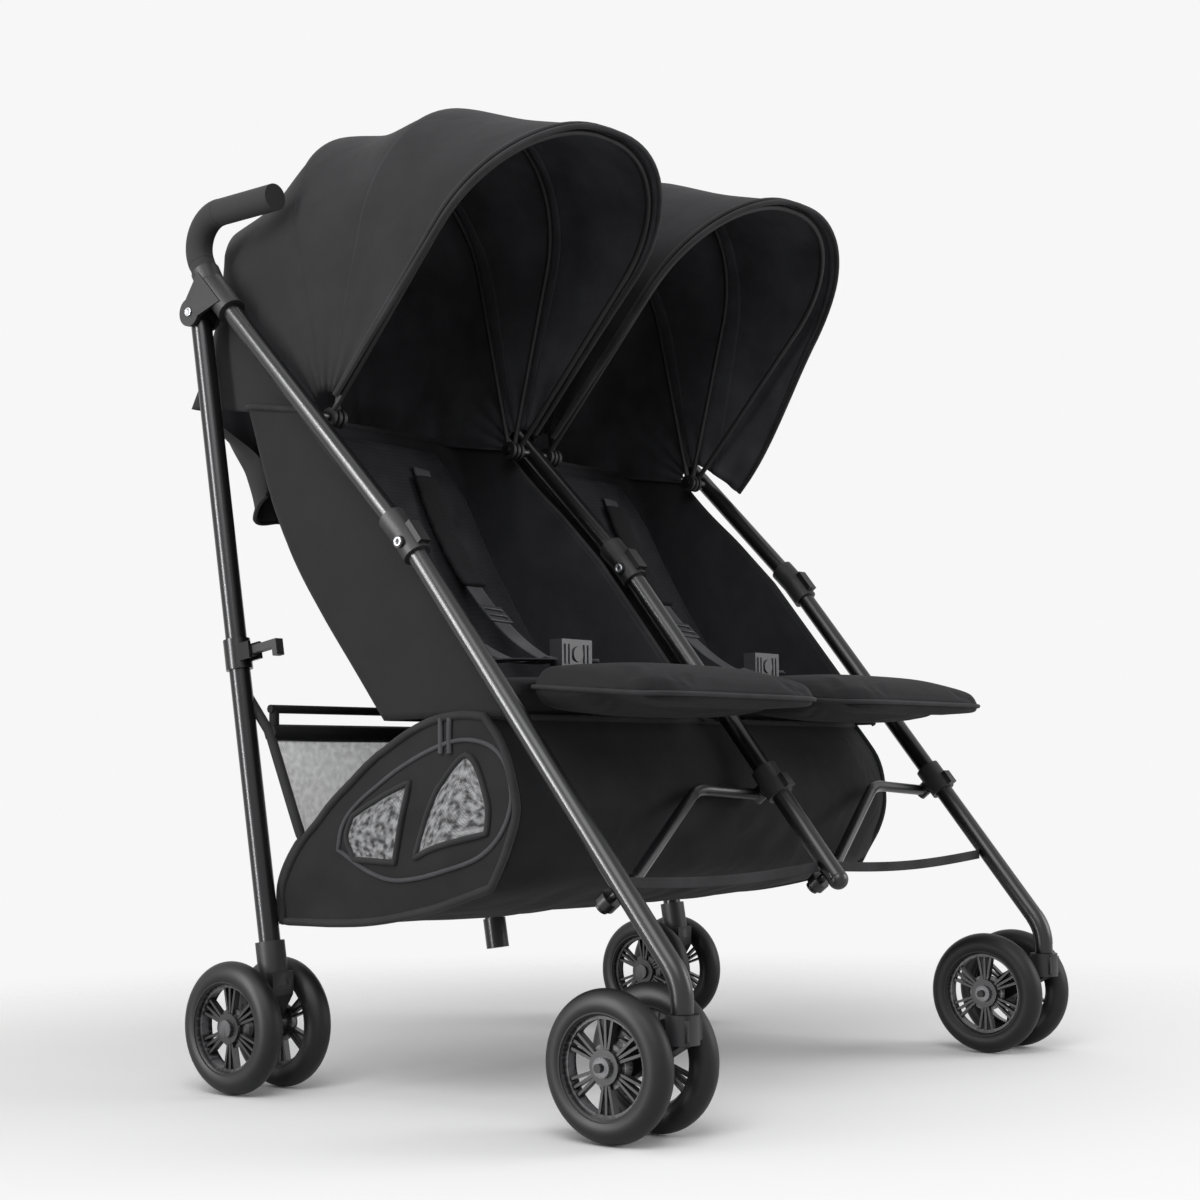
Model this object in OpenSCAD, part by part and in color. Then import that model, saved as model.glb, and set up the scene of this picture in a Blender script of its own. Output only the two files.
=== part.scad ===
// Side by side double stroller with an umbrella fold, in millimetres.
// +Z is up, the seats face -Y, and the right-hand side of the seated child is -X.

/* [Frame] */
// distance between the outer tube planes
track = 690; // [660:1:720]
// diameter of the three push tubes
tube_d = 20; // [18:0.5:22]
// diameter of the three rear legs
leg_d = 22; // [20:0.5:24]
// slope of the push tubes above the clamp, from the floor
upper_rake = 45.9; // [44:0.1:47]
// slope of the push tubes below the clamp
lower_rake = 51.8; // [50:0.1:53]
// fore and aft place of the clamp on the push tubes
clamp_y = 25; // [20:1:30]
// height of the clamp
clamp_z = 552; // [546:1:558]
// length of the tubes above the clamp
upper_len = 412; // [404:1:416]
// fore and aft place of the front swivels
stem_y = -300; // [-306:1:-294]
// height of the tube ends over the swivels
stem_z = 112; // [110:1:114]
// fore and aft place of the rear leg pivots
apex_y = 326; // [322:1:329]
// height of the rear leg pivots
apex_z = 815; // [812:1:818]
// diameter of the pivot bolts
bolt_d = 10; // [8:0.5:11]
// thickness of the pivot cheeks
cheek_t = 4; // [3:0.5:4]

/* [Wheels] */
// tyre diameter
wheel_d = 134; // [130:1:136]
// tyre width
wheel_w = 27; // [25:0.5:28]
// distance between the two wheels of a pair
pair_pitch = 66; // [66:0.5:70]
// distance that the front wheels trail behind their swivel
trail = 55; // [52:1:58]
// fore and aft place of the rear axle
rear_axle_y = 239; // [234:1:244]
// axle diameter
axle_d = 8; // [7:0.5:9]
// diameter on which the tyre sits
rim_d = 100; // [96:1:102]
// number of spoke groups
spoke_groups = 6; // [5:1:8]

/* [Handles] */
// diameter of the foam grips
grip_d = 28; // [26:0.5:30]
// height of the level part of the grips
grip_z = 920; // [916:1:926]
// fore and aft place of the grip ends
grip_end_y = 208; // [200:1:216]
// slope of the rising part of the grips
grip_rake = 60; // [58:1:66]

/* [Fold] */
// distance of the low end of a cross bar below the clamp
bar_low = 424; // [418:1:430]
// distance of the collars below the clamp
bar_high = 310; // [302:1:318]
// diameter of the cross bars
bar_d = 12; // [10:0.5:13]
// length of the sliding collars
collar_len = 34; // [30:1:40]

/* [Canopies] */
// distance from the canopy pivots to the front rim
rim_reach = 380; // [370:1:384]
// distance from the canopy pivots to the other bows
bow_reach = 345; // [338:1:352]
// distance of the canopy pivots above the clamp, along the tubes
pin_s = 188; // [184:1:192]
// side clearance of a canopy inside the wings of the back rest
hood_inset = 1.5; // [1:0.1:3]
// distance that the rear panel of a canopy hangs below the pivots
drop_low = 100; // [80:1:110]
// sag of the cloth between two bows
hood_sag = 12; // [6:1:16]
// thickness of the canopy cloth
hood_t = 3; // [2:0.5:4]
// diameter of the bows
bow_d = 6; // [5:0.5:7]

/* [Seats] */
// thickness of the seat cushions
cushion_t = 44; // [38:1:46]
// thickness of the back pads
back_t = 30; // [26:1:32]
// length of the back rests
back_len = 380; // [366:1:388]
// lean of the back rests from upright
back_lean = 31.4; // [30:0.2:33]
// length of the leg rests
calf_len = 132; // [120:1:138]
// thickness of the leg rests at the hinge
calf_t = 46; // [40:1:48]
// width of the harness webbing
web_w = 25; // [20:1:28]

/* [Basket] */
// height of the basket floor
floor_z = 188; // [184:1:194]
// thickness of the basket cloth
basket_t = 3; // [2:0.5:4]
// height of the rear hem
hem_z = 380; // [370:1:386]

/* [Clearances] */
// radial running fit of turning and sliding pieces
run_fit = 0.05; // [0.02:0.01:0.08]
// radial fit of pieces that are fixed together
seat_fit = 0.04; // [0.02:0.01:0.08]
// side clearance of moving pieces
side_gap = 0.5; // [0.4:0.1:0.8]
// clearance around soft pieces
soft_gap = 3; // [2:0.5:4]
// gap under straps that lie on the padding
rest_gap = 0.4; // [0.3:0.1:0.8]

/* [Hidden] */
$fn = 48;
half = track / 2;
tube_r = tube_d / 2;
leg_r = leg_d / 2;
wheel_r = wheel_d / 2;
seat_x = track / 4;
front_axle_y = stem_y + trail;
// tube directions, and places along them
lo_s = (clamp_y - stem_y) / cos(lower_rake);
bend_z = clamp_z - lo_s * sin(lower_rake);
top_y = clamp_y + upper_len * cos(upper_rake);
top_z = clamp_z + upper_len * sin(upper_rake);
pin_y = clamp_y + pin_s * cos(upper_rake);
pin_z = clamp_z + pin_s * sin(upper_rake);
// the rear legs end in a block over the axle
leg_end_y = rear_axle_y - 25;
leg_end_z = wheel_r + 46;
leg_lean = atan2(apex_y - leg_end_y, apex_z - leg_end_z);
leg_len = (apex_z - leg_end_z) / cos(leg_lean);
eye_r = leg_r + 2;
eye_half = leg_r + 0.6;
cheek_in = eye_half + side_gap;
joint_half = cheek_in + cheek_t;
hub_half = (pair_pitch - wheel_w) / 2 - side_gap;
axle_half = (pair_pitch + wheel_w) / 2 + 3;
// canopy angles are measured from straight ahead, upward
rim_a = 46.6;
mid_a = 75;
rear_a = 102;
back_a = 131;
back_flat = -bow_reach * cos(back_a);
drop_flat = 0.95 * back_flat;
low_a = 180 + atan2(drop_low, drop_flat);
edge_reach = 26;
drop_corner = 20;
bow_r = bow_d / 2;
eye_w = 4;
// seat side lines
back_y = 86;
back_z = 374;
back_bow = 10;
bucket_half = seat_x - tube_r - soft_gap;
wing_t = 4;
cushion_half = bucket_half - wing_t - soft_gap;
hood_half = bucket_half - wing_t - hood_inset;
seat_z = 374;
seat_front = -112;
calf_z = 400;
// the whole is centred fore and aft
y_front = min(stem_y - 15, front_axle_y - wheel_r);
y_back = pin_y + back_flat;
y_shift = -(y_front + y_back) / 2;

// places a child drawn in (y, z) so that it is extruded along X from x
module yz(x = 0) {
    translate([x, 0, 0]) rotate([90, 0, 90]) children();
}

// a round bar along X
module xbar(x0, x1, y, z, r) {
    translate([x0, y, z]) rotate([0, 90, 0]) cylinder(h = x1 - x0, r = r);
}

module centred() {
    translate([0, y_shift, 0]) children();
}

// frame of the lower tubes: local X across, local Y up the tubes, local Z out of their plane, forward
module low_plane() {
    translate([0, clamp_y, clamp_z]) rotate([lower_rake, 0, 0]) children();
}

module high_plane() {
    translate([0, clamp_y, clamp_z]) rotate([upper_rake, 0, 0]) children();
}

function unit(v) = v / norm(v);
function turn(a, b) = atan2(a[0] * b[1] - a[1] * b[0], a[0] * b[0] + a[1] * b[1]);
function ways(p) = [for (i = [0 : len(p) - 2]) unit(p[i + 1] - p[i])];

// a round bar along a flat line of points, with a bend radius for each inner point
bend_over = 2;
bend_full = 0.25;
module bent_bar(p, r, b) {
    n = len(p);
    u = ways(p);
    t = [for (i = [0 : n - 1]) (i == 0 || i == n - 1) ? 0 : b[i - 1] * tan(abs(turn(u[i - 1], u[i])) / 2)];
    for (i = [0 : n - 2]) {
        a = p[i] + u[i] * (t[i] - (i == 0 ? 0 : bend_over));
        e = p[i + 1] - u[i] * (t[i + 1] - (i == n - 2 ? 0 : bend_over));
        translate([a[0], a[1], 0]) rotate([0, 0, atan2(u[i][1], u[i][0])]) rotate([0, 90, 0])
            cylinder(h = norm(e - a), r = r);
    }
    for (i = [1 : n - 2]) {
        w = turn(u[i - 1], u[i]);
        s = w > 0 ? 1 : -1;
        c = p[i] - u[i - 1] * t[i] + s * b[i - 1] * [-u[i - 1][1], u[i - 1][0]];
        a0 = atan2(u[i - 1][1], u[i - 1][0]) - s * 90;
        translate([c[0], c[1], 0]) rotate([0, 0, s > 0 ? a0 : a0 + w])
            rotate_extrude(angle = abs(w)) translate([b[i - 1], 0]) circle(r + bend_full);
    }
}

// a closed skin between two grids of points with the same rows and columns
function flat(g) = [for (row = g) for (q = row) q];
module grid_solid(a, b) {
    n = len(a);
    m = len(a[0]);
    o = n * m;
    top = [for (i = [0 : n - 2]) for (j = [0 : m - 2])
        each [[i * m + j, i * m + j + 1, (i + 1) * m + j + 1], [i * m + j, (i + 1) * m + j + 1, (i + 1) * m + j]]];
    low = [for (f = top) [f[0] + o, f[2] + o, f[1] + o]];
    e0 = [for (j = [0 : m - 2]) each [[j, o + j, o + j + 1], [j, o + j + 1, j + 1]]];
    k = (n - 1) * m;
    e1 = [for (j = [0 : m - 2]) each [[k + j, o + k + j + 1, o + k + j], [k + j, k + j + 1, o + k + j + 1]]];
    e2 = [for (i = [0 : n - 2]) each [[i * m, o + (i + 1) * m, o + i * m], [i * m, (i + 1) * m, o + (i + 1) * m]]];
    l = m - 1;
    e3 = [for (i = [0 : n - 2])
        each [[i * m + l, o + i * m + l, o + (i + 1) * m + l], [i * m + l, o + (i + 1) * m + l, (i + 1) * m + l]]];
    polyhedron(points = concat(flat(a), flat(b)), faces = concat(top, low, e0, e1, e2, e3));
}

// push tubes

clamp_bend = 120;
module tube_line(r) {
    yz() bent_bar([[top_y, top_z], [clamp_y, clamp_z], [stem_y, bend_z], [stem_y, stem_z]], r, [clamp_bend, 50]);
}

module canopy_pin(s) {
    xbar(s > 0 ? 0 : -46, s > 0 ? 46 : 0, pin_y, pin_z, bolt_d / 2);
}

module bar_pin() {
    low_plane() translate([0, -bar_low, bar_z - 10]) {
        cylinder(h = 10 - bar_z, r = 4);
        cylinder(h = 2.5, r = 7);
    }
}

module side_tube() {
    difference() {
        tube_line(tube_r);
        translate([0, stem_y, stem_z - 1]) cylinder(h = 21, r = 5 + run_fit);
    }
}

module right_tube() {
    color("#26272a") centred() translate([-half, 0, 0]) union() {
        side_tube();
        canopy_pin(1);
        bar_pin();
    }
}

module left_tube() {
    color("#26272a") centred() translate([half, 0, 0]) union() {
        side_tube();
        canopy_pin(-1);
    }
}

// the middle tube has no wheel and ends in a rounded cap below the cross bar
module centre_tube() {
    end_s = bar_low + 12;
    end = [clamp_y - end_s * cos(lower_rake), clamp_z - end_s * sin(lower_rake)];
    color("#26272a") centred() union() {
        yz() bent_bar([[top_y, top_z], [clamp_y, clamp_z], end], tube_r, [clamp_bend]);
        translate([0, end[0], end[1]]) sphere(tube_r + 0.5);
        canopy_pin(1);
        canopy_pin(-1);
        bar_pin();
    }
}

// top joints: a sleeve on the tube, cheeks for the rear leg, and a spigot for the grip

function grip_base() = [top_y + 5, top_z + 10];
function grip_dir() = [cos(grip_rake), sin(grip_rake)];

module top_joint(spigot) {
    g = grip_base();
    q = atan2(grip_dir()[1], grip_dir()[0]);
    difference() {
        union() {
            high_plane() translate([0, upper_len - 52, 0]) rotate([-90, 0, 0]) cylinder(h = 56, r = 15);
            for (s = [-1, 1]) yz(s > 0 ? cheek_in : -joint_half) linear_extrude(cheek_t) union() {
                translate([apex_y, apex_z]) circle(eye_r + 2);
                polygon([[apex_y + 6, apex_z + eye_r], [apex_y - eye_r, apex_z - 6],
                    [top_y - 34, top_z - 28], [top_y, top_z + 8]]);
            }
            xbar(-joint_half - 0.5, joint_half + 0.5, apex_y, apex_z, bolt_d / 2);
            if (spigot) {
                yz() translate([g[0], g[1]]) rotate([0, 0, q]) translate([-14, 0]) rotate([0, 90, 0])
                    cylinder(h = 16, r = 15.4);
                yz() translate([g[0], g[1]]) rotate([0, 0, q]) rotate([0, 90, 0]) cylinder(h = 24, r = 8);
            }
        }
        tube_line(tube_r + seat_fit);
    }
}

module right_top_joint() {
    color("#1c1c1e") centred() translate([-half, 0, 0]) top_joint(true);
}

module centre_top_joint() {
    color("#1c1c1e") centred() top_joint(false);
}

module left_top_joint() {
    color("#1c1c1e") centred() translate([half, 0, 0]) top_joint(true);
}

// grips: foam sleeves bent forward like a cane handle

module grip() {
    g = grip_base();
    d = grip_dir();
    a = g + d * 2.5;
    v = a + d * ((grip_z - a[1]) / d[1]);
    difference() {
        yz() bent_bar([a, v, [grip_end_y, grip_z]], grip_d / 2, [34]);
        yz() translate([g[0], g[1]]) rotate([0, 0, atan2(d[1], d[0])]) rotate([0, 90, 0])
            cylinder(h = 26, r = 8 + seat_fit);
    }
}

module right_grip() {
    color("#232323") centred() translate([-half, 0, 0]) grip();
}

module left_grip() {
    color("#232323") centred() translate([half, 0, 0]) grip();
}

// clamps at the bend of the tubes, each with a bolt head

module clamp(s) {
    difference() {
        union() {
            high_plane() rotate([-90, 0, 0]) cylinder(h = 26, r = tube_r + 4);
            low_plane() rotate([90, 0, 0]) cylinder(h = 26, r = tube_r + 4);
            translate([0, clamp_y, clamp_z]) sphere(tube_r + 4);
            low_plane() translate([0, -10, 0]) rotate([0, 90, 0]) cylinder(h = s * (tube_r + 7), r = 6);
            low_plane() translate([-7, -22, tube_r]) cube([14, 26, 8]);
        }
        tube_line(tube_r + seat_fit);
    }
}

module right_clamp() {
    color("#1c1c1e") centred() translate([-half, 0, 0]) mirror([1, 0, 0]) clamp(1);
}

module centre_clamp() {
    color("#1c1c1e") centred() mirror([1, 0, 0]) clamp(1);
}

module left_clamp() {
    color("#1c1c1e") centred() translate([half, 0, 0]) clamp(1);
}

// rear legs: tube with a flat eye at the top

module leg_frame() {
    translate([0, apex_y, apex_z]) rotate([-leg_lean, 0, 0]) children();
}

module leg_rod(len) {
    difference() {
        union() {
            leg_frame() translate([0, 0, -len]) cylinder(h = len - 2, r = leg_r);
            xbar(-eye_half, eye_half, apex_y, apex_z, eye_r);
        }
        xbar(-eye_half - 1, eye_half + 1, apex_y, apex_z, bolt_d / 2 + run_fit);
    }
}

// place of the latch lug, as a distance down the leg
latch_s = 372;
module latch_lug() {
    leg_frame() translate([0, 0, -latch_s]) {
        translate([0, 0, -16]) cylinder(h = 32, r = leg_r + 3);
        difference() {
            translate([-9, -leg_r - 16, -9]) cube([18, 16, 18]);
            translate([-5 - side_gap, -leg_r - 17, -10]) cube([10 + 2 * side_gap, 15, 20]);
        }
        translate([-9, -leg_r - 9, 0]) rotate([0, 90, 0]) cylinder(h = 18, r = 3);
    }
}

module right_rear_leg() {
    color("#2e2f33") centred() translate([-half, 0, 0]) union() {
        leg_rod(leg_len);
        latch_lug();
    }
}

module centre_rear_leg() {
    color("#2e2f33") centred() union() {
        leg_rod(leg_len - 38);
        leg_frame() translate([0, 0, -leg_len + 8]) cylinder(h = 34, r = leg_r + 2);
    }
}

module left_rear_leg() {
    color("#2e2f33") centred() translate([half, 0, 0]) leg_rod(leg_len);
}

// latch that holds the folded frame shut

module fold_latch() {
    color("#1c1c1e") centred() translate([-half, 0, 0]) leg_frame() translate([0, -leg_r - 9, -latch_s])
        yz(-5) linear_extrude(10) difference() {
            union() {
                circle(6);
                translate([-44, -4]) square([44, 8]);
                translate([-44, -13]) square([7, 17]);
            }
            circle(3 + run_fit);
        }
}

// cross bars at the front, hinged low on one tube and led by a collar on the next

bar_z = -(tube_r + 5 + bar_d / 2);
module front_bar() {
    e = bar_low - bar_high;
    difference() {
        union() {
            bent_bar([[0, 0], [0.17 * half, 0.2 * e], [0.7 * half, 1.08 * e], [half, e]], bar_d / 2, [60, 60]);
            translate([0, 0, -5]) cylinder(h = 10, r = 10);
            translate([half, e, -bar_d / 2]) cylinder(h = bar_d, r = 8);
        }
        translate([0, 0, -9]) cylinder(h = 18, r = 4 + run_fit);
    }
}

module right_front_bar() {
    color("#2a2a2c") centred() low_plane() translate([-half, -bar_low, bar_z]) front_bar();
}

module left_front_bar() {
    color("#2a2a2c") centred() low_plane() translate([0, -bar_low, bar_z]) front_bar();
}

module collar() {
    boss = -bar_z - bar_d / 2 - bend_full - side_gap;
    low_plane() translate([0, -bar_high, 0]) difference() {
        union() {
            translate([0, -collar_len / 2, 0]) rotate([-90, 0, 0]) cylinder(h = collar_len, r = tube_r + 4);
            translate([0, 0, -boss]) cylinder(h = boss, r = 7);
            translate([-6, -collar_len / 2, 0]) cube([12, 16, tube_r + 8]);
        }
        translate([0, -collar_len, 0]) rotate([-90, 0, 0]) cylinder(h = 2 * collar_len, r = tube_r + run_fit);
    }
}

module centre_collar() {
    color("#1c1c1e") centred() collar();
}

module left_collar() {
    color("#1c1c1e") centred() translate([half, 0, 0]) collar();
}

// front forks: swivel stem, crown and one arm between the two wheels

module fork() {
    yf = front_axle_y;
    union() {
        translate([0, stem_y, stem_z - 12]) cylinder(h = 30, r = 5);
        translate([0, stem_y, stem_z - 26]) cylinder(h = 26 - side_gap, r = 15);
        yz(-11) linear_extrude(22) union() {
            polygon([[stem_y - 13, stem_z - 4], [stem_y - 13, stem_z - 22], [yf - 9, wheel_r - 11],
                [yf + 10, wheel_r + 8], [stem_y + 14, stem_z - 4]]);
            translate([yf, wheel_r]) circle(14);
        }
        xbar(-hub_half, hub_half, yf, wheel_r, 12);
        xbar(-axle_half, axle_half, yf, wheel_r, axle_d / 2);
    }
}

module right_fork() {
    color("#1f1f21") centred() translate([-half, 0, 0]) fork();
}

module left_fork() {
    color("#1f1f21") centred() translate([half, 0, 0]) fork();
}

// wheels, drawn about Z with the outer face up

module tyre() {
    rotate_extrude() difference() {
        union() {
            translate([wheel_r - wheel_w / 2, 0]) circle(wheel_w / 2);
            translate([rim_d / 2 - 4, -wheel_w / 2 + 1.5]) square([wheel_r - wheel_w / 2 - rim_d / 2 + 4, wheel_w - 3]);
        }
        translate([0, -10]) square([rim_d / 2, 20]);
        square([rim_d / 2 - 2, wheel_w + 2], center = true);
    }
}

module rim_body(bore) {
    difference() {
        union() {
            rotate_extrude() union() {
                translate([rim_d / 2 - 5, -10 + seat_fit]) square([5 - seat_fit, 20 - 2 * seat_fit]);
                translate([rim_d / 2 - 9, -3]) square([6, 9]);
            }
            translate([0, 0, -wheel_w / 2]) cylinder(h = wheel_w - 6, r = 15.5);
            cylinder(h = wheel_w / 2 - 2, r = 9);
            for (g = [0 : spoke_groups - 1], k = [-1, 0, 1])
                rotate([0, 0, g * 360 / spoke_groups + k * 11]) translate([12, -1.3, -2.5])
                    cube([rim_d / 2 - 19, 2.6, 7]);
            translate([0, 0, -3.5]) cylinder(h = 5, r = 20);
        }
        if (bore) cylinder(h = 3 * wheel_w, r = axle_d / 2 + run_fit, center = true);
    }
}

module wheel_at(x, y, s) {
    translate([x, y, wheel_r]) rotate([0, s * 90, 0]) children();
}

module rf_out_tyre() {
    color("#2b2b2b") centred() wheel_at(-half - pair_pitch / 2, front_axle_y, -1) tyre();
}

module rf_out_rim() {
    color("#3b3b3d") centred() wheel_at(-half - pair_pitch / 2, front_axle_y, -1) rim_body(true);
}

module rf_in_tyre() {
    color("#2b2b2b") centred() wheel_at(-half + pair_pitch / 2, front_axle_y, 1) tyre();
}

module rf_in_rim() {
    color("#3b3b3d") centred() wheel_at(-half + pair_pitch / 2, front_axle_y, 1) rim_body(true);
}

module lf_out_tyre() {
    color("#2b2b2b") centred() wheel_at(half + pair_pitch / 2, front_axle_y, 1) tyre();
}

module lf_out_rim() {
    color("#3b3b3d") centred() wheel_at(half + pair_pitch / 2, front_axle_y, 1) rim_body(true);
}

module lf_in_tyre() {
    color("#2b2b2b") centred() wheel_at(half - pair_pitch / 2, front_axle_y, -1) tyre();
}

module lf_in_rim() {
    color("#3b3b3d") centred() wheel_at(half - pair_pitch / 2, front_axle_y, -1) rim_body(true);
}

// a rear pair turns on one live axle, so that one brake holds both wheels

module rear_tyres() {
    wheel_at(-pair_pitch / 2, rear_axle_y, -1) tyre();
    wheel_at(pair_pitch / 2, rear_axle_y, 1) tyre();
}

module rear_rims() {
    union() {
        wheel_at(-pair_pitch / 2, rear_axle_y, -1) rim_body(false);
        wheel_at(pair_pitch / 2, rear_axle_y, 1) rim_body(false);
        xbar(-pair_pitch / 2, pair_pitch / 2, rear_axle_y, wheel_r, axle_d / 2);
    }
}

module rr_tyres() {
    color("#2b2b2b") centred() translate([-half, 0, 0]) rear_tyres();
}

module rr_rims() {
    color("#3b3b3d") centred() translate([-half, 0, 0]) rear_rims();
}

module lr_tyres() {
    color("#2b2b2b") centred() translate([half, 0, 0]) rear_tyres();
}

module lr_rims() {
    color("#3b3b3d") centred() translate([half, 0, 0]) rear_rims();
}

// blocks at the foot of the rear legs, with the axle bore and the pedal hinge

pedal_y = rear_axle_y + 4;
pedal_z = wheel_r + 36;
module axle_block() {
    difference() {
        union() {
            leg_frame() translate([0, 0, -leg_len - 6]) cylinder(h = 46, r = leg_r + 4);
            yz(-14) linear_extrude(28) union() {
                polygon([[leg_end_y - 14, leg_end_z + 10], [leg_end_y - 13, leg_end_z - 14],
                    [rear_axle_y - 10, wheel_r - 9], [rear_axle_y + 12, wheel_r + 8],
                    [pedal_y - 9, pedal_z + 4], [leg_end_y + 14, leg_end_z + 8]]);
                translate([rear_axle_y, wheel_r]) circle(14);
            }
            xbar(-hub_half, hub_half, rear_axle_y, wheel_r, 12);
            for (s = [-1, 1]) yz(s > 0 ? 8 + side_gap : -14) linear_extrude(6 - side_gap) union() {
                translate([pedal_y, pedal_z]) circle(7);
                polygon([[pedal_y - 6, pedal_z + 3], [pedal_y - 9, pedal_z - 14], [pedal_y + 6, pedal_z - 14],
                    [pedal_y + 6, pedal_z]]);
            }
            xbar(-14, 14, pedal_y, pedal_z, 3);
        }
        leg_frame() translate([0, 0, -leg_len]) cylinder(h = 60, r = leg_r + seat_fit);
        xbar(-30, 30, rear_axle_y, wheel_r, axle_d / 2 + run_fit);
    }
}

module right_axle_block() {
    color("#1f1f21") centred() translate([-half, 0, 0]) axle_block();
}

module left_axle_block() {
    color("#1f1f21") centred() translate([half, 0, 0]) axle_block();
}

module brake_pedal() {
    yz(-8) linear_extrude(16) difference() {
        union() {
            translate([pedal_y, pedal_z]) circle(6);
            polygon([[pedal_y, pedal_z - 5], [pedal_y + 46, pedal_z + 3], [pedal_y + 48, pedal_z + 10],
                [pedal_y + 20, pedal_z + 8], [pedal_y, pedal_z + 6]]);
        }
        translate([pedal_y, pedal_z]) circle(3 + run_fit);
    }
    yz(-16) linear_extrude(32) polygon([[pedal_y + 30, pedal_z + 1], [pedal_y + 47, pedal_z + 4],
        [pedal_y + 49, pedal_z + 10], [pedal_y + 30, pedal_z + 8]]);
}

module right_brake_pedal() {
    color("#333336") centred() translate([-half, 0, 0]) brake_pedal();
}

module left_brake_pedal() {
    color("#333336") centred() translate([half, 0, 0]) brake_pedal();
}

// canopies: cloth over arched bows, sagging between them, closed behind down to the back rest

function lerp(a, b, t) = a + (b - a) * t;
function part(a, a0, a1) = (a - a0) / (a1 - a0);
function dip(t) = hood_sag * sin(180 * t);
function hood_rho(a) =
    a <= mid_a ? lerp(rim_reach, bow_reach, part(a, rim_a, mid_a)) - dip(part(a, rim_a, mid_a)) :
    a <= rear_a ? bow_reach - dip(part(a, mid_a, rear_a)) :
    a <= back_a ? bow_reach - dip(part(a, rear_a, back_a)) :
    lerp(back_flat, drop_flat, part(a, back_a, low_a)) / cos(180 - a);
// the sides end over the back rest, and the rear panel hangs on behind it
side_a = 180 - atan2(back_pt(1)[1] + soft_gap - pin_z, back_pt(1)[0] - pin_y - 40);
function hood_corner(a) = a <= back_a ? hood_half - 8
    : lerp(hood_half - 8, drop_corner, min(1, part(a, back_a, side_a)));
function hood_edge(a) = a <= side_a ? edge_reach : hood_rho(a) - drop_corner - 4;
// one arch as (across, reach): a leg, a quarter round, the crown and back down
function arch(h, rho, c, e) = let(k = min(c, rho - e - 4)) concat(
    [for (t = [0 : 0.25 : 0.75]) [-h, lerp(e, rho - k, t)]],
    [for (q = [0 : 11.25 : 90]) [-(h - k) - k * cos(q), rho - k + k * sin(q)]],
    [for (q = [90 : -11.25 : 0]) [h - k + k * cos(q), rho - k + k * sin(q)]],
    [for (t = [0.75 : -0.25 : 0]) [h, lerp(e, rho - k, t)]]);
function hood_row(a, t) = [for (q = arch(hood_half - t, hood_rho(a) - t, hood_corner(a) - t, hood_edge(a)))
    [q[0], pin_y - q[1] * cos(a), pin_z + q[1] * sin(a)]];
hood_angles = concat([for (i = [0 : 4]) lerp(rim_a, mid_a, i / 5)], [for (i = [0 : 4]) lerp(mid_a, rear_a, i / 5)],
    [for (i = [0 : 3]) lerp(rear_a, back_a, i / 4)], [for (i = [0 : 4]) lerp(back_a, side_a, i / 4)],
    [for (i = [0 : 3]) lerp(side_a + 0.6, low_a, i / 3)]);

module hood() {
    grid_solid([for (a = hood_angles) hood_row(a, 0)], [for (a = hood_angles) hood_row(a, hood_t)]);
}

module right_canopy() {
    color("#2c2c2e") centred() translate([-seat_x, 0, 0]) hood();
}

module left_canopy() {
    color("#2c2c2e") centred() translate([seat_x, 0, 0]) hood();
}

// bows are nested, so that their eyes sit side by side on the pivot pins

module bow(k, a) {
    h = hood_half - hood_t - bow_r - soft_gap / 2 - k * (eye_w + bow_r);
    r = hood_rho(a) - hood_t - bow_r - soft_gap / 2;
    translate([0, pin_y, pin_z]) rotate([180 - a, 0, 0]) difference() {
        union() {
            bent_bar([[-h, 9], [-h, r], [h, r], [h, 9]], bow_r, [h - 6, h - 6]);
            for (s = [-1, 1]) translate([s * h - eye_w / 2, 0, 0]) rotate([0, 90, 0]) cylinder(h = eye_w, r = 10);
        }
        for (s = [-1, 1]) translate([s * h - 3 * bow_r, 0, 0]) rotate([0, 90, 0])
            cylinder(h = 6 * bow_r, r = bolt_d / 2 + run_fit);
    }
}

module right_bow_front() {
    color("#1a1a1a") centred() translate([-seat_x, 0, 0]) bow(0, rim_a + 1);
}

module right_bow_mid() {
    color("#1a1a1a") centred() translate([-seat_x, 0, 0]) bow(1, mid_a);
}

module right_bow_rear() {
    color("#1a1a1a") centred() translate([-seat_x, 0, 0]) bow(2, rear_a);
}

module left_bow_front() {
    color("#1a1a1a") centred() translate([seat_x, 0, 0]) bow(0, rim_a + 1);
}

module left_bow_mid() {
    color("#1a1a1a") centred() translate([seat_x, 0, 0]) bow(1, mid_a);
}

module left_bow_rear() {
    color("#1a1a1a") centred() translate([seat_x, 0, 0]) bow(2, rear_a);
}

// seat cushions: crowned across and rounded over at the front

function crown(u, v) = 7 * (1 - pow(abs(u), 4)) * (1 - pow(abs(v), 4));
// the rear of a cushion follows the lean of the back pad
pad_bulge = 6;
function pad_face(z) = back_y - back_t - pad_bulge + (z - back_z) * tan(back_lean);
cushion_low = pad_face(seat_z) - 2 * soft_gap;
undercut = 34;
cushion_top = pad_face(seat_z + cushion_t - 12) - soft_gap;
module cushion() {
    us = [for (i = [0 : 12]) -1 + i / 6];
    vs = [for (i = [0 : 8]) -1 + i / 4];
    grid_solid(
        [for (v = vs) [for (u = us) [u * cushion_half * (1 - 0.05 * pow(v, 4)),
            lerp(seat_front, cushion_top, (v + 1) / 2),
            seat_z + cushion_t - 7 + crown(u, v) - 5 * pow(abs(u), 8) - 5 * pow(abs(v), 8)]]],
        [for (v = vs) [for (u = us) [u * cushion_half * (1 - 0.05 * pow(v, 4)),
            lerp(seat_front + undercut, cushion_low, (v + 1) / 2), seat_z]]]);
}

module right_seat() {
    color("#242426") centred() translate([-seat_x, 0, 0]) cushion();
}

module left_seat() {
    color("#242426") centred() translate([seat_x, 0, 0]) cushion();
}

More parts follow.
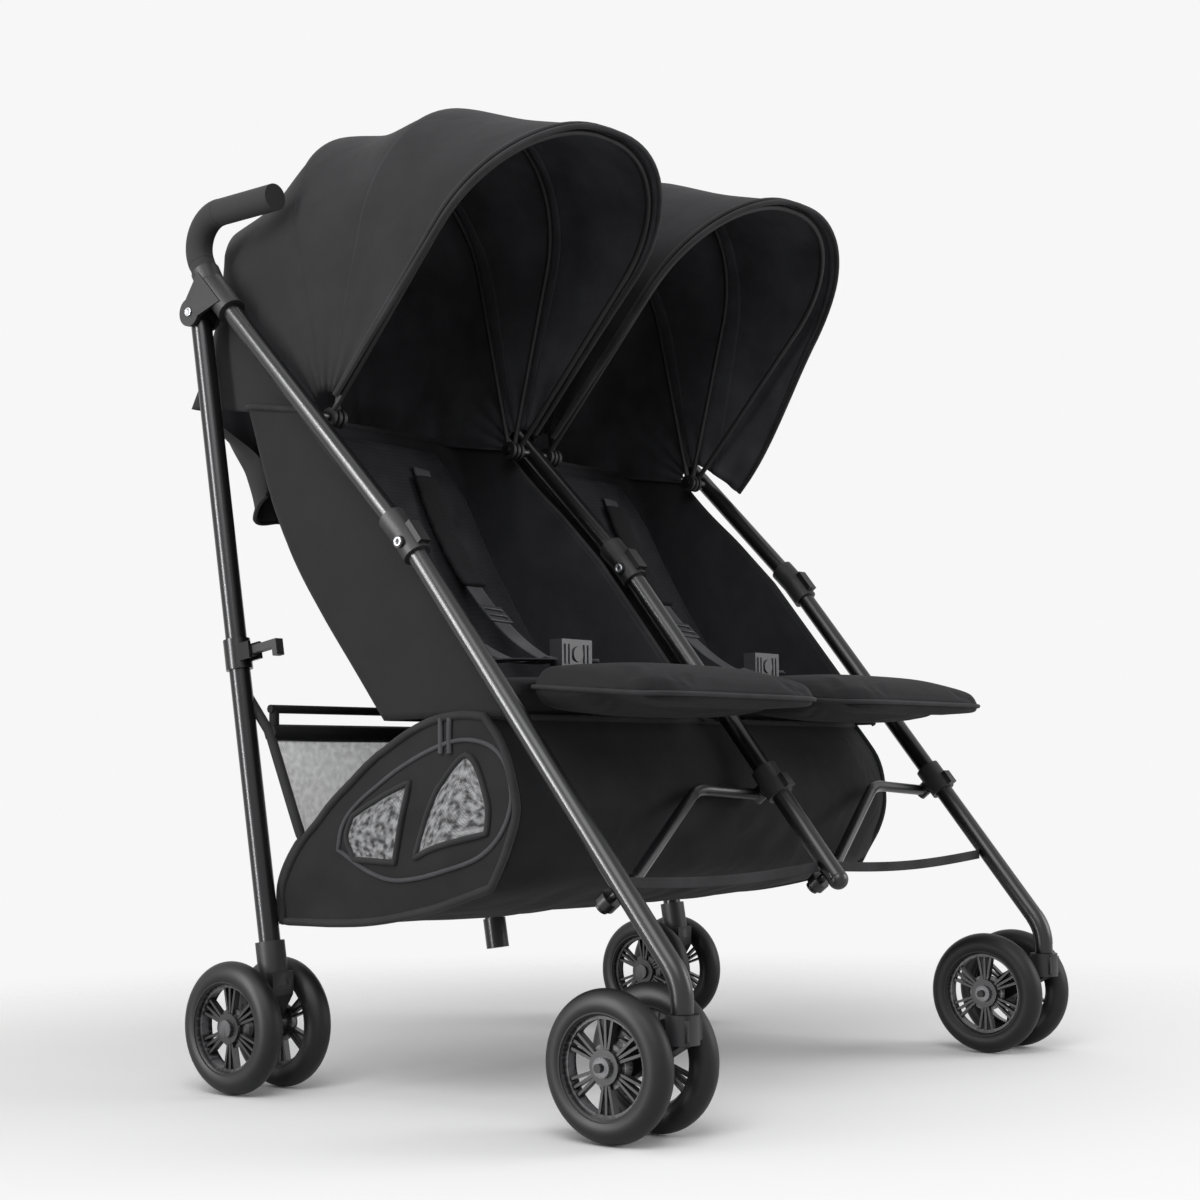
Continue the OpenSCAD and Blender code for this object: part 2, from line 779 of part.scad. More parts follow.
// back rests: a padded back with cloth wings that run forward to the tubes

function back_pt(t) = [back_y + t * back_len * sin(back_lean) + back_bow * sin(180 * t),
    back_z + t * back_len * cos(back_lean)];
function tube_back(z) = z < clamp_z ? clamp_y - (clamp_z - z) / tan(lower_rake) + tube_r + 8
    : clamp_y + (z - clamp_z) / tan(upper_rake) + tube_r + 8;
// section of the bucket at height t, inner or outer skin: wing, corner, back, corner, wing
function bucket_row(t, inner) = let(
        p = back_pt(t),
        w = bucket_half - (inner ? wing_t : 0),
        f = tube_back(p[1]) + 4,
        b = inner ? p[0] - back_t : p[0],
        k = 26) concat(
    [for (s = [0 : 0.25 : 0.75]) [-w, lerp(f, b - k, s), p[1]]],
    [for (q = [0 : 22.5 : 90]) [-w + k - k * cos(q), b - k + k * sin(q), p[1]]],
    [for (s = [0.2 : 0.2 : 0.8]) [lerp(-w + k, w - k, s), b - (inner ? pad_bulge * sin(180 * s) : 0), p[1]]],
    [for (q = [90 : -22.5 : 0]) [w - k + k * cos(q), b - k + k * sin(q), p[1]]],
    [for (s = [0.75 : -0.25 : 0]) [w, lerp(f, b - k, s), p[1]]]);

module bucket() {
    ts = [for (i = [0 : 10]) i / 10];
    grid_solid([for (t = ts) bucket_row(t, false)], [for (t = ts) bucket_row(t, true)]);
}

module right_backrest() {
    color("#2a2a2c") centred() translate([-seat_x, 0, 0]) bucket();
}

module left_backrest() {
    color("#2a2a2c") centred() translate([seat_x, 0, 0]) bucket();
}

// leg rests: padded wedges hinged at the front of the seats

module calf_pad() {
    us = [for (i = [0 : 10]) -1 + i / 5];
    vs = [for (i = [0 : 8]) i / 8];
    grid_solid(
        [for (v = vs) [for (u = us) [u * (cushion_half + 4) * (1 - 0.05 * pow(v, 6)),
            seat_front - rest_gap - v * calf_len,
            calf_z + lerp(calf_t / 2, -11, v) + 4 * (1 - pow(abs(u), 4)) * sin(180 * v) - 3 * pow(abs(u), 8)]]],
        [for (v = vs) [for (u = us) [u * (cushion_half + 4) * (1 - 0.05 * pow(v, 6)),
            seat_front - rest_gap - v * calf_len,
            calf_z - lerp(calf_t / 2, 18, v)]]]);
}

module right_leg_rest() {
    color("#28282a") centred() translate([-seat_x, 0, 0]) calf_pad();
}

module left_leg_rest() {
    color("#28282a") centred() translate([seat_x, 0, 0]) calf_pad();
}

// basket: floor, bulged front wall, side panels with mesh windows, and a rear wall under a hem

basket_half = half - tube_r - soft_gap;
// the front wall keeps behind the tubes
function wall_pt(h, off) = [tube_back(floor_z + h) + off, floor_z + h];
basket_line = [[rear_axle_y - 48, floor_z], [92, floor_z - 3], wall_pt(36, 112), wall_pt(98, 28),
    wall_pt(150, 12), wall_pt(178, 18)];
module strip(p, t) {
    for (i = [0 : len(p) - 2]) {
        d = p[i + 1] - p[i];
        translate(p[i]) rotate(atan2(d[1], d[0])) translate([0, -t / 2]) square([norm(d), t]);
    }
    for (q = p) translate(q) circle(t / 2);
}

module side_panel_shape() {
    difference() {
        polygon(concat(basket_line, [[-36, floor_z + 183], [16, floor_z + 178], [75, floor_z + 150],
            [128, floor_z + 96]]));
        polygon([[96, floor_z + 34], [58, floor_z + 34], [40, floor_z + 92], [72, floor_z + 96], [102, floor_z + 66]]);
        polygon([[40, floor_z + 36], [-18, floor_z + 46], [-26, floor_z + 112], [4, floor_z + 124],
            [24, floor_z + 106]]);
    }
}

hem_r = 8;
module basket() {
    hem_y = apex_y - (apex_z - hem_z) * tan(leg_lean) - leg_r / cos(leg_lean) - soft_gap - hem_r;
    color("#2b2b2d") centred() union() {
        yz(-basket_half) linear_extrude(2 * basket_half) union() {
            strip(basket_line, basket_t);
            strip([basket_line[0], [hem_y, hem_z]], basket_t);
        }
        for (s = [-1, 1]) yz(s > 0 ? basket_half - basket_t : -basket_half) linear_extrude(basket_t) side_panel_shape();
        for (s = [-1, 1]) yz(s > 0 ? basket_half - basket_t : -basket_half) linear_extrude(1) polygon(
            [basket_line[0], basket_line[1], basket_line[2], [-40, floor_z + 124], [60, floor_z + 124],
            [110, floor_z + 80]]);
        xbar(-basket_half, basket_half, hem_y, hem_z, hem_r);
        xbar(-basket_half, basket_half, hem_y, hem_z + 24, 3);
        for (x = [-basket_half, -4, basket_half - 8]) translate([x, hem_y - 1.5, hem_z]) cube([8, 3, 24]);
    }
}

// harness: two shoulder straps that meet at the buckle

buckle_y = -40;
buckle_z = seat_z + cushion_t + 22;
web_t = 1.6;
function strap_pt(s, t) = let(
        p = back_pt(0.72 - 0.66 * t),
        y0 = p[0] - back_t - pad_bulge - rest_gap,
        k = t * t * t)
    [s * lerp(54, 30, t), lerp(y0, buckle_y + 8 + rest_gap + web_t, k), lerp(p[1], buckle_z, k)];
module strap(s) {
    ts = [for (i = [0 : 10]) i / 10];
    grid_solid([for (t = ts) [for (e = [-1, 1]) strap_pt(s, t) + [e * web_w / 2, 0, 0]]],
        [for (t = ts) [for (e = [-1, 1]) strap_pt(s, t) + [e * web_w / 2, -web_t, web_t]]]);
}

module right_harness() {
    color("#1e1e20") centred() translate([-seat_x, 0, 0]) {
        strap(-1);
        strap(1);
    }
}

module left_harness() {
    color("#1e1e20") centred() translate([seat_x, 0, 0]) {
        strap(-1);
        strap(1);
    }
}

// buckle on the crotch strap, with a press button

module buckle() {
    difference() {
        union() {
            translate([-24, buckle_y - 8, buckle_z - 15]) cube([48, 16, 30]);
            translate([-web_w / 2, buckle_y - 2, seat_z + cushion_t + rest_gap]) cube([web_w, 3, 10]);
            for (x = [-18, -12, 12, 18]) translate([x, buckle_y - 8, buckle_z]) rotate([90, 0, 0])
                translate([-1.5, -10, 0]) cube([3, 20, 1.5]);
        }
        translate([0, buckle_y - 9, buckle_z]) rotate([-90, 0, 0]) cylinder(h = 9, r = 8);
    }
}

module button() {
    translate([0, buckle_y - 10, buckle_z]) rotate([-90, 0, 0]) cylinder(h = 6, r = 8 - side_gap);
}

module right_buckle() {
    color("#2f2f31") centred() translate([-seat_x, 0, 0]) buckle();
}

module left_buckle() {
    color("#2f2f31") centred() translate([seat_x, 0, 0]) buckle();
}

module right_buckle_button() {
    color("#3a3a3c") centred() translate([-seat_x, 0, 0]) button();
}

module left_buckle_button() {
    color("#3a3a3c") centred() translate([seat_x, 0, 0]) button();
}

right_tube();
centre_tube();
left_tube();
right_rear_leg();
centre_rear_leg();
left_rear_leg();
right_top_joint();
centre_top_joint();
left_top_joint();
right_grip();
left_grip();
right_clamp();
centre_clamp();
left_clamp();
right_front_bar();
left_front_bar();
centre_collar();
left_collar();
right_fork();
left_fork();
rf_out_tyre();
rf_out_rim();
rf_in_tyre();
rf_in_rim();
lf_out_tyre();
lf_out_rim();
lf_in_tyre();
lf_in_rim();
rr_tyres();
rr_rims();
lr_tyres();
lr_rims();
right_axle_block();
left_axle_block();
right_brake_pedal();
left_brake_pedal();
fold_latch();
right_canopy();
left_canopy();
right_bow_front();
right_bow_mid();
right_bow_rear();
left_bow_front();
left_bow_mid();
left_bow_rear();
right_seat();
left_seat();
right_backrest();
left_backrest();
right_leg_rest();
left_leg_rest();
basket();
right_harness();
left_harness();
right_buckle();
left_buckle();
right_buckle_button();
left_buckle_button();
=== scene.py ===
"""Looks of a side by side double stroller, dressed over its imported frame. All places are in metres."""
import math

import bpy
from mathutils import Matrix, Vector, noise


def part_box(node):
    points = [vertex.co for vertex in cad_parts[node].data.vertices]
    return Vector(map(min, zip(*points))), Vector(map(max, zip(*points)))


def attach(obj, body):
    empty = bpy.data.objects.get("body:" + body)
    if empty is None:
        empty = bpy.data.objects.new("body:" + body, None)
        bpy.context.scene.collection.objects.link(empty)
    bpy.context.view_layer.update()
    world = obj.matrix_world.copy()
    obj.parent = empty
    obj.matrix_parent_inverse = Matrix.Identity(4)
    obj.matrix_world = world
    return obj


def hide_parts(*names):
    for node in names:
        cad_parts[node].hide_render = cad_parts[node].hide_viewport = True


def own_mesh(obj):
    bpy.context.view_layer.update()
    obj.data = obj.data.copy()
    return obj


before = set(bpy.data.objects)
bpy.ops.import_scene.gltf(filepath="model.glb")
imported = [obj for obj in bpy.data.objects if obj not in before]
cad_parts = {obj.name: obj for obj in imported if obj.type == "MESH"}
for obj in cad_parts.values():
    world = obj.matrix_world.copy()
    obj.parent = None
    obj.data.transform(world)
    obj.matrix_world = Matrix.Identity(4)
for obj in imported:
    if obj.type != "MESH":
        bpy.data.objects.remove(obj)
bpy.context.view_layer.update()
bpy.ops.object.select_all(action="DESELECT")

# Push tubes and front cross bars.
# Round steel tube, bent cold and powder coated satin black. The baked coat has a faint
# speckle, and a bright streak runs down each tube.


def linear(code):
    """A hex colour as it is seen on a screen, turned to the linear values that shaders take."""
    parts = [int(code[i : i + 2], 16) / 255 for i in (1, 3, 5)]
    return (*[c / 12.92 if c <= 0.04045 else ((c + 0.055) / 1.055) ** 2.4 for c in parts], 1)


def add(tree, kind, sockets=None, **settings):
    """One node with its settings. A socket given another node's output is linked to it."""
    made = tree.nodes.new(kind)
    for key, value in settings.items():
        setattr(made, key, value)
    for key, value in (sockets or {}).items():
        if isinstance(value, bpy.types.NodeSocket):
            tree.links.new(value, made.inputs[key])
        else:
            made.inputs[key].default_value = value
    return made


def begin(name, **plain):
    """A new material with its node tree and shader, and the shader's plain values set."""
    material = bpy.data.materials.new(name)
    material.use_nodes = True
    shader = material.node_tree.nodes["Principled BSDF"]
    for key, value in plain.items():
        shader.inputs[key.replace("_", " ")].default_value = value
    return material, material.node_tree, shader


def dress(material, *names):
    """Gives CAD pieces a material in place of their packed one."""
    for name in names:
        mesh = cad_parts[name].data
        mesh.materials.clear()
        mesh.materials.append(material)


coat, tree, shader = begin(
    "powder_coated_steel", Base_Color=linear("#0e0e0f"), Roughness=0.3, IOR=1.5
)
place = add(tree, "ShaderNodeTexCoord").outputs["Object"]
# handling dulls the coat in soft patches, about 60 mm across
patch = add(tree, "ShaderNodeTexNoise", {"Vector": place, "Scale": 1 / 0.06, "Detail": 3.0})
dull = add(tree, "ShaderNodeMapRange", {"Value": patch.outputs["Fac"], "To Min": 0.27, "To Max": 0.36})
tree.links.new(dull.outputs["Result"], shader.inputs["Roughness"])
# the fine speckle of powder, 1.5 mm, shows in the colour
speckle = add(tree, "ShaderNodeTexNoise", {"Vector": place, "Scale": 1 / 0.0015, "Detail": 1.5})
tone = add(
    tree, "ShaderNodeMix", {0: speckle.outputs["Fac"], 6: linear("#0a0a0b"), 7: linear("#131315")},
    data_type="RGBA",
)
tree.links.new(tone.outputs[2], shader.inputs["Base Color"])
dress(coat, "right_tube", "centre_tube", "left_tube", "right_front_bar", "left_front_bar")

# Rear legs.
# Wider drawn tube with a smoother, glossier coat over the bare steel, so the streak on
# them is nearly white.

leg_coat, tree, shader = begin(
    "gloss_coated_leg", Base_Color=linear("#1d1d1f"), Metallic=0.4, Roughness=0.3
)
place = add(tree, "ShaderNodeTexCoord").outputs["Object"]
# draw lines along the leg, about 2 mm apart, stretched 40 times in length
along = add(tree, "ShaderNodeMapping", {"Vector": place, "Scale": (1, 1, 0.025)})
drawn = add(
    tree, "ShaderNodeTexNoise", {"Vector": along.outputs["Vector"], "Scale": 1 / 0.002, "Detail": 2.0},
)
gloss = add(tree, "ShaderNodeMapRange", {"Value": drawn.outputs["Fac"], "To Min": 0.26, "To Max": 0.31})
tree.links.new(gloss.outputs["Result"], shader.inputs["Roughness"])
dress(leg_coat, "right_rear_leg", "centre_rear_leg", "left_rear_leg")

# Joints, clamps, collars, forks, axle blocks, pedals and latch.
# Moulded nylon, black, with the fine spark-eroded grain of its mould and edges painted
# slightly paler, partly as rubbed wear and partly as a painted highlight.

nylon, tree, shader = begin(
    "moulded_nylon", Base_Color=linear("#1b1b1d"), Roughness=0.5, Specular_IOR_Level=0.35,
)
place = add(tree, "ShaderNodeTexCoord").outputs["Object"]
# mould grain of 0.3 mm, drawn at 0.9 mm so that it shows
grain = add(tree, "ShaderNodeTexNoise", {"Vector": place, "Scale": 1 / 0.0009, "Detail": 2.0})
bump = add(tree, "ShaderNodeBump", {"Height": grain.outputs["Fac"], "Strength": 0.2, "Distance": 0.0003})
tree.links.new(bump.outputs["Normal"], shader.inputs["Normal"])
shine = add(tree, "ShaderNodeMapRange", {"Value": grain.outputs["Fac"], "To Min": 0.42, "To Max": 0.58})
tree.links.new(shine.outputs["Result"], shader.inputs["Roughness"])
# edges painted paler by pointiness: partly rubbed wear, partly a painted highlight along them
painted_edge_light_and_smoothing = add(tree, "ShaderNodeNewGeometry")
edge = add(
    tree, "ShaderNodeMapRange", {"Value": painted_edge_light_and_smoothing.outputs["Pointiness"], "From Min": 0.51, "From Max": 0.6},
)
tone = add(
    tree, "ShaderNodeMix", {0: edge.outputs["Result"], 6: linear("#0f0f10"), 7: linear("#29292b")},
    data_type="RGBA",
)
tree.links.new(tone.outputs[2], shader.inputs["Base Color"])
dress(
    nylon,
    "right_top_joint", "centre_top_joint", "left_top_joint", "right_clamp", "centre_clamp", "left_clamp",
    "centre_collar", "left_collar", "right_fork", "left_fork", "right_axle_block", "left_axle_block",
    "right_brake_pedal", "left_brake_pedal", "fold_latch",
)

# Grips.
# Closed-cell foam sleeves pulled over the bent handles: dull, dark grey, with a skin of
# tiny pores.

foam, tree, shader = begin("closed_cell_foam", Base_Color=linear("#1e1e1f"), Roughness=0.92, IOR=1.45)
place = add(tree, "ShaderNodeTexCoord").outputs["Object"]
# pores drawn at 1.6 mm, larger than real ones, so that they show
pore = add(tree, "ShaderNodeTexVoronoi", {"Vector": place, "Scale": 1 / 0.0016})
bump = add(tree, "ShaderNodeBump", {"Height": pore.outputs["Distance"], "Strength": 0.35, "Distance": 0.0004})
tree.links.new(bump.outputs["Normal"], shader.inputs["Normal"])
fade = add(tree, "ShaderNodeTexNoise", {"Vector": place, "Scale": 1 / 0.03, "Detail": 3.0})
tone = add(
    tree, "ShaderNodeMix", {0: fade.outputs["Fac"], 6: linear("#1a1a1b"), 7: linear("#272729")},
    data_type="RGBA",
)
tree.links.new(tone.outputs[2], shader.inputs["Base Color"])
dress(foam, "right_grip", "left_grip")

# Tyres and rims.
# Foam-filled tyres with a smooth dull skin, on moulded rims of dark grey nylon with
# grouped spokes.

tread, tree, shader = begin("tyre_foam", Base_Color=linear("#151516"), Roughness=0.5, Specular_IOR_Level=0.3)
place = add(tree, "ShaderNodeTexCoord").outputs["Object"]
# scuffs of about 8 mm over a 1.2 mm skin grain
scuff = add(tree, "ShaderNodeTexNoise", {"Vector": place, "Scale": 1 / 0.008, "Detail": 5.0})
tone = add(
    tree, "ShaderNodeMix", {0: scuff.outputs["Fac"], 6: linear("#0c0c0d"), 7: linear("#161617")},
    data_type="RGBA",
)
tree.links.new(tone.outputs[2], shader.inputs["Base Color"])
skin = add(tree, "ShaderNodeTexNoise", {"Vector": place, "Scale": 1 / 0.0012, "Detail": 1.0})
bump = add(tree, "ShaderNodeBump", {"Height": skin.outputs["Fac"], "Strength": 0.2, "Distance": 0.0003})
tree.links.new(bump.outputs["Normal"], shader.inputs["Normal"])
wheel_names = ("rf_out", "rf_in", "lf_out", "lf_in")
dress(tread, "rr_tyres", "lr_tyres", *[f"{name}_tyre" for name in wheel_names])

rim_nylon, tree, shader = begin("satin_rim_nylon", Base_Color=linear("#3a3a3d"), Roughness=0.35, IOR=1.53)
place = add(tree, "ShaderNodeTexCoord").outputs["Object"]
flow = add(tree, "ShaderNodeTexNoise", {"Vector": place, "Scale": 1 / 0.004, "Detail": 2.0})
satin = add(tree, "ShaderNodeMapRange", {"Value": flow.outputs["Fac"], "To Min": 0.3, "To Max": 0.45})
tree.links.new(satin.outputs["Result"], shader.inputs["Roughness"])
# edges painted pale by pointiness: a painted highlight, light rings along the rims and spokes
painted_edge_light_and_smoothing = add(tree, "ShaderNodeNewGeometry")
edge = add(
    tree, "ShaderNodeMapRange", {"Value": painted_edge_light_and_smoothing.outputs["Pointiness"], "From Min": 0.525, "From Max": 0.62},
)
tone = add(
    tree, "ShaderNodeMix", {0: edge.outputs["Result"], 6: linear("#19191b"), 7: linear("#8c8c8f")},
    data_type="RGBA",
)
tree.links.new(tone.outputs[2], shader.inputs["Base Color"])
dress(rim_nylon, "rr_rims", "lr_rims", *[f"{name}_rim" for name in wheel_names])

# Canopies.
# Woven polyester over three bowed wires on each side. Each hood is cut as gored panels that
# are lapped at the bows, with a double rolled edge in front and a drop panel behind.

# fore and aft places are given from under the seats, where the source of the frame has its zero
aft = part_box("right_tube")[0].y + 0.310
seat_x = 0.1725
pin_aft = 0.1558
pin_y, pin_z = aft + pin_aft, 0.6870
# half width of a hood at its pins, and how far from a pin the cloth begins
hood_half, hood_foot = 0.154, 0.026
# degrees from straight ahead to the rear bow, the end of the back panel and the end of the flap
rear_turn, back_turn, flap_turn = 131.0, 170.7, 204.9


def arch(half, reach, corner, foot, u):
    """A point on an arch and its way out, u from 0 at one foot to 1 at the other."""
    leg, round_, flat = reach - corner - foot, corner * math.pi / 2, half - corner
    run = 2 * (leg + round_ + flat) * min(u, 1 - u)
    if run < leg:
        x, r, out = half, foot + run, (1, 0)
    elif run < leg + round_:
        turn = (run - leg) / corner
        out = (math.cos(turn), math.sin(turn))
        x, r = flat + corner * out[0], reach - corner + corner * out[1]
    else:
        x, r, out = half - corner - (run - leg - round_), reach, (0, 1)
    side = -1 if u < 0.5 else 1
    return side * x, r, (side * out[0], out[1])


def ease(value, low, high):
    """0 below low, 1 above high, and smooth between."""
    t = min(1, max(0, (value - low) / (high - low)))
    return t * t * (3 - 2 * t)


def between(a, b, t):
    return a + (b - a) * t


def cloth(name, across, along, place, inside, thick, material):
    """A sheet shaped from a grid. place(u, v) gives a point, and its UV map is in metres of cloth."""
    bpy.ops.object.select_all(action="DESELECT")
    bpy.ops.mesh.primitive_grid_add(x_subdivisions=across, y_subdivisions=along, size=1)
    piece = bpy.context.object
    piece.name = piece.data.name = name
    for v in piece.data.vertices:
        v.co = place(v.co.x + 0.5, v.co.y + 0.5)
    rows = [[place(i / 24, j / 24) for i in range(25)] for j in range(25)]
    wide = [sum((b - a).length for a, b in zip(row, row[1:])) for row in rows]
    long = [sum((b - a).length for a, b in zip(line, line[1:])) for line in zip(*rows)]
    for corner in piece.data.uv_layers[0].data:
        corner.uv = (corner.uv.x * max(wide), corner.uv.y * max(long))
    piece.data.update()
    middle = piece.data.polygons[len(piece.data.polygons) // 2 + across // 2]
    inward = middle.normal.dot(middle.center - Vector(inside)) < 0
    bpy.ops.object.mode_set(mode="EDIT")
    bpy.ops.mesh.select_all(action="SELECT")
    if inward:
        bpy.ops.mesh.flip_normals()
    bpy.ops.object.mode_set(mode="OBJECT")
    piece["cut"] = [max(wide), max(long), sum(f.area for f in piece.data.polygons)]
    outer = len(piece.data.vertices)
    wall = piece.modifiers.new("wall", "SOLIDIFY")
    wall.thickness, wall.offset = thick, -1
    bpy.ops.object.modifier_apply(modifier="wall")
    # marks the inner faces, where a material may paint light over the shade
    inside_face = piece.data.attributes.new("inner_painted_light", "FLOAT", "POINT")
    for v in piece.data.vertices[outer:]:
        inside_face.data[v.index].value = 1.0
    bpy.ops.object.shade_smooth()
    piece.data.materials.append(material)
    return piece


def soft(piece, body, finish, *nodes):
    """A soft piece rides on its body and stands for its solids."""
    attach(piece, body)
    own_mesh(piece)
    if nodes:
        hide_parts(*nodes)


def cut_sheet(piece):
    """Takes the size a sheet was cut to off the piece."""
    del piece["cut"]


def stand(name, data):
    """A new object from a mesh or a curve, linked and the only one selected."""
    piece = bpy.data.objects.new(name, data)
    bpy.context.collection.objects.link(piece)
    bpy.ops.object.select_all(action="DESELECT")
    piece.select_set(True)
    bpy.context.view_layer.objects.active = piece
    return piece


def rolled(name, points, radius, material, closed=False):
    """A rolled or corded edge of cloth along a line of points."""
    line = bpy.data.curves.new(name, "CURVE")
    line.dimensions, line.bevel_depth, line.bevel_resolution, line.use_fill_caps = "3D", radius, 2, True
    run = line.splines.new("POLY")
    run.points.add(len(points) - 1)
    run.use_cyclic_u = closed
    for p, q in zip(run.points, points):
        p.co = (*q, 1)
    stand(name, line)
    bpy.ops.object.convert(target="MESH")
    piece = bpy.context.object
    bpy.ops.object.shade_smooth()
    piece.data.materials.append(material)
    return piece


def weave(tree, flat, spacing, join):
    """Two sets of threads across each other at a spacing, and the way their heights are joined."""
    # a wave repeats each pi / (10 scale) of its coordinate
    wave = {"Vector": flat, "Scale": math.pi / 10 / spacing}
    warp, weft = (add(tree, "ShaderNodeTexWave", wave, bands_direction=way).outputs["Fac"] for way in "XY")
    return add(tree, "ShaderNodeMath", {0: warp, 1: weft}, operation=join)


def woven(name, dark, light, thread, sheen, crumple=0.12, inner_painted_light=None):
    """Plain woven polyester: over and under threads, soft blotches of shade, and a little sheen."""
    material, tree, shader = begin(
        name, Roughness=0.85, Specular_IOR_Level=0.22, Sheen_Weight=sheen, Sheen_Roughness=0.45,
    )
    shader.inputs["Sheen Tint"].default_value = linear("#8a8a8e")
    over = weave(tree, add(tree, "ShaderNodeUVMap").outputs["UV"], thread, "MULTIPLY")
    object_place = add(tree, "ShaderNodeTexCoord").outputs["Object"]
    blotch = add(tree, "ShaderNodeTexNoise", {"Vector": object_place, "Scale": 1 / 0.05, "Detail": 4.0})
    mixed = add(
        tree, "ShaderNodeMath", {0: over.outputs["Value"], 1: 0.45, 2: blotch.outputs["Fac"]},
        operation="MULTIPLY_ADD",
    )
    share = add(
        tree, "ShaderNodeMapRange", {"Value": mixed.outputs["Value"], "From Min": 0.3, "From Max": 1.05},
    )
    tone = add(
        tree, "ShaderNodeMix", {0: share.outputs["Result"], 6: linear(dark), 7: linear(light)},
        data_type="RGBA",
    )
    # inner faces take paler tones: painted light that lifts the shade on the cloth's inner side, for the
    # hoods partly a paler lining
    if inner_painted_light:
        inner = add(
            tree, "ShaderNodeMix", {0: share.outputs["Result"], 6: linear(inner_painted_light[0]), 7: linear(inner_painted_light[1])},
            data_type="RGBA",
        )
        inside_face = add(tree, "ShaderNodeAttribute", attribute_name="inner_painted_light").outputs["Fac"]
        tone = add(
            tree, "ShaderNodeMix", {0: inside_face, 6: tone.outputs[2], 7: inner.outputs[2]}, data_type="RGBA",
        )
    tree.links.new(tone.outputs[2], shader.inputs["Base Color"])
    # loose folds, about 60 mm from crest to crest
    fold = add(
        tree, "ShaderNodeTexNoise",
        {"Vector": object_place, "Scale": 1 / 0.06, "Detail": 2.0, "Distortion": 0.5},
    )
    loose = add(
        tree, "ShaderNodeBump", {"Height": fold.outputs["Fac"], "Strength": crumple, "Distance": 0.02},
    )
    bump = add(tree, "ShaderNodeBump", {
        "Height": over.outputs["Value"], "Strength": 0.22, "Distance": 0.0003,
        "Normal": loose.outputs["Normal"],
    })
    tree.links.new(bump.outputs["Normal"], shader.inputs["Normal"])
    return material


def hood_reach(turn):
    """Distance of the cloth from the pins at a turn in degrees from straight ahead, slack between bows."""
    stops = ((46.6, 0.380, 0.0145), (75.0, 0.345, 0.0195), (102.0, 0.345, 0.0195), (rear_turn, 0.345, 0.0))
    for (a, near, dip), (b, far, _) in zip(stops, stops[1:]):
        if turn <= b:
            t = max(0.0, (turn - a) / (b - a))
            return between(near, far, t) - dip * math.sin(math.pi * t) ** 1.1
    # the drop panel hangs nearly straight down behind the rear bow
    low = (turn - rear_turn) / (flap_turn - rear_turn)
    return between(0.2263, 0.2150, low) / math.cos(math.radians(180 - turn))


def hood_point(x_mid, u, turn, inset, flap=False):
    drop = min(1.0, max(0.0, (turn - rear_turn) / (back_turn - rear_turn)))
    reach = hood_reach(turn) - inset
    corner = min(between(0.146, 0.020, drop) - inset, reach - 0.030)
    if flap:
        low = ease(turn, 166, 190)
        reach, corner = reach - 0.030 * ease(turn, 172, 206), between(0.020, 0.050, low)
        x, r, out = arch(between(0.148, 0.110, low), reach, corner, reach - corner - 0.004, u)
    else:
        x, r, out = arch(hood_half - inset, reach, corner, hood_foot, u)
    # pleats gather at the pins, the panels ripple, and the drop panel hangs in folds
    crease = 0.0016 * math.exp(-(r - hood_foot) / 0.06) * math.sin(turn * 0.42)
    crease += 0.0016 * noise.noise(Vector((x * 11, r * 11, turn * 0.06)))
    wander = 2.5 * noise.noise(Vector((x * 8, turn * 0.03, 7)))
    crease += 0.0050 * ease(turn, 122, 150) * out[1] * math.sin(x * 120 + wander)
    x, r = x + out[0] * crease, r + out[1] * crease
    a = math.radians(turn)
    point = Vector((x_mid + x, pin_y - r * math.cos(a), pin_z + r * math.sin(a)))
    # the outer side of the left hood isn't hooked down in front, so it stands open past its tube
    slack, low = max(0.0, out[0]) ** 2 * (1 - ease(turn, 48, 95)), 1 - ease(r, 0.04, 0.30)
    return point + (x_mid > 0) * slack * Vector((0.018 + 0.012 * low, -0.022 * low, -0.030 * low))


# thread spacing of 0.5 mm, drawn at 1.6 mm so that it shows
# the hoods' inner faces are painted paler: partly a paler lining, partly painted light lifting the shade
# inside
polyester = woven("woven_polyester_canopy", "#19191b", "#2b2b2d", 0.0016, 0.1, 0.12, ("#2e2e31", "#4c4c50"))
edging = woven("ribbed_edge_binding", "#1a1a1b", "#38383a", 0.0012, 0.2)
for side, x_mid in (("right", -seat_x), ("left", seat_x)):
    for part, low, high, inset, body, bow in (
        ("front", 46.6, 75.0, 0.0, f"{side}_front_bow", "front"),
        ("mid", 73.4, 102.0, 0.0013, f"{side}_mid_bow", "mid"),
        ("back", 100.4, back_turn, 0.0026, "centre_frame", "rear"),
        ("drop", 168.5, flap_turn, 0.0040, "centre_frame", "rear"),
    ):
        panel = cloth(
            f"{side}_canopy_{part}", 88, round((high - low) * 0.9),
            lambda u, v: hood_point(x_mid, u, between(low, high, v), inset, part == "drop"),
            (x_mid, pin_y, pin_z), 0.0011, polyester,
        )
        cut_sheet(panel)
        soft(panel, body, "canopy_cloth", f"{side}_canopy")
    foot = [hood_point(x_mid, i / 60, flap_turn, 0.0035, True) for i in range(61)]
    soft(rolled(f"{side}_canopy_drop_hem", foot, 0.0024, edging), "centre_frame", "canopy_cloth")
    for order, turn in ((1, 46.4), (2, 47.9)):
        line = [hood_point(x_mid, i / 80, turn, -0.0008) for i in range(81)]
        soft(rolled(f"{side}_canopy_edge_{order}", line, 0.0028, edging), f"{side}_front_bow", "canopy_cloth")

# Canopy bows.
# Spring steel wire in a black coat, bent to an arch with a flattened eye at each foot. They
# hold the panels up from inside.


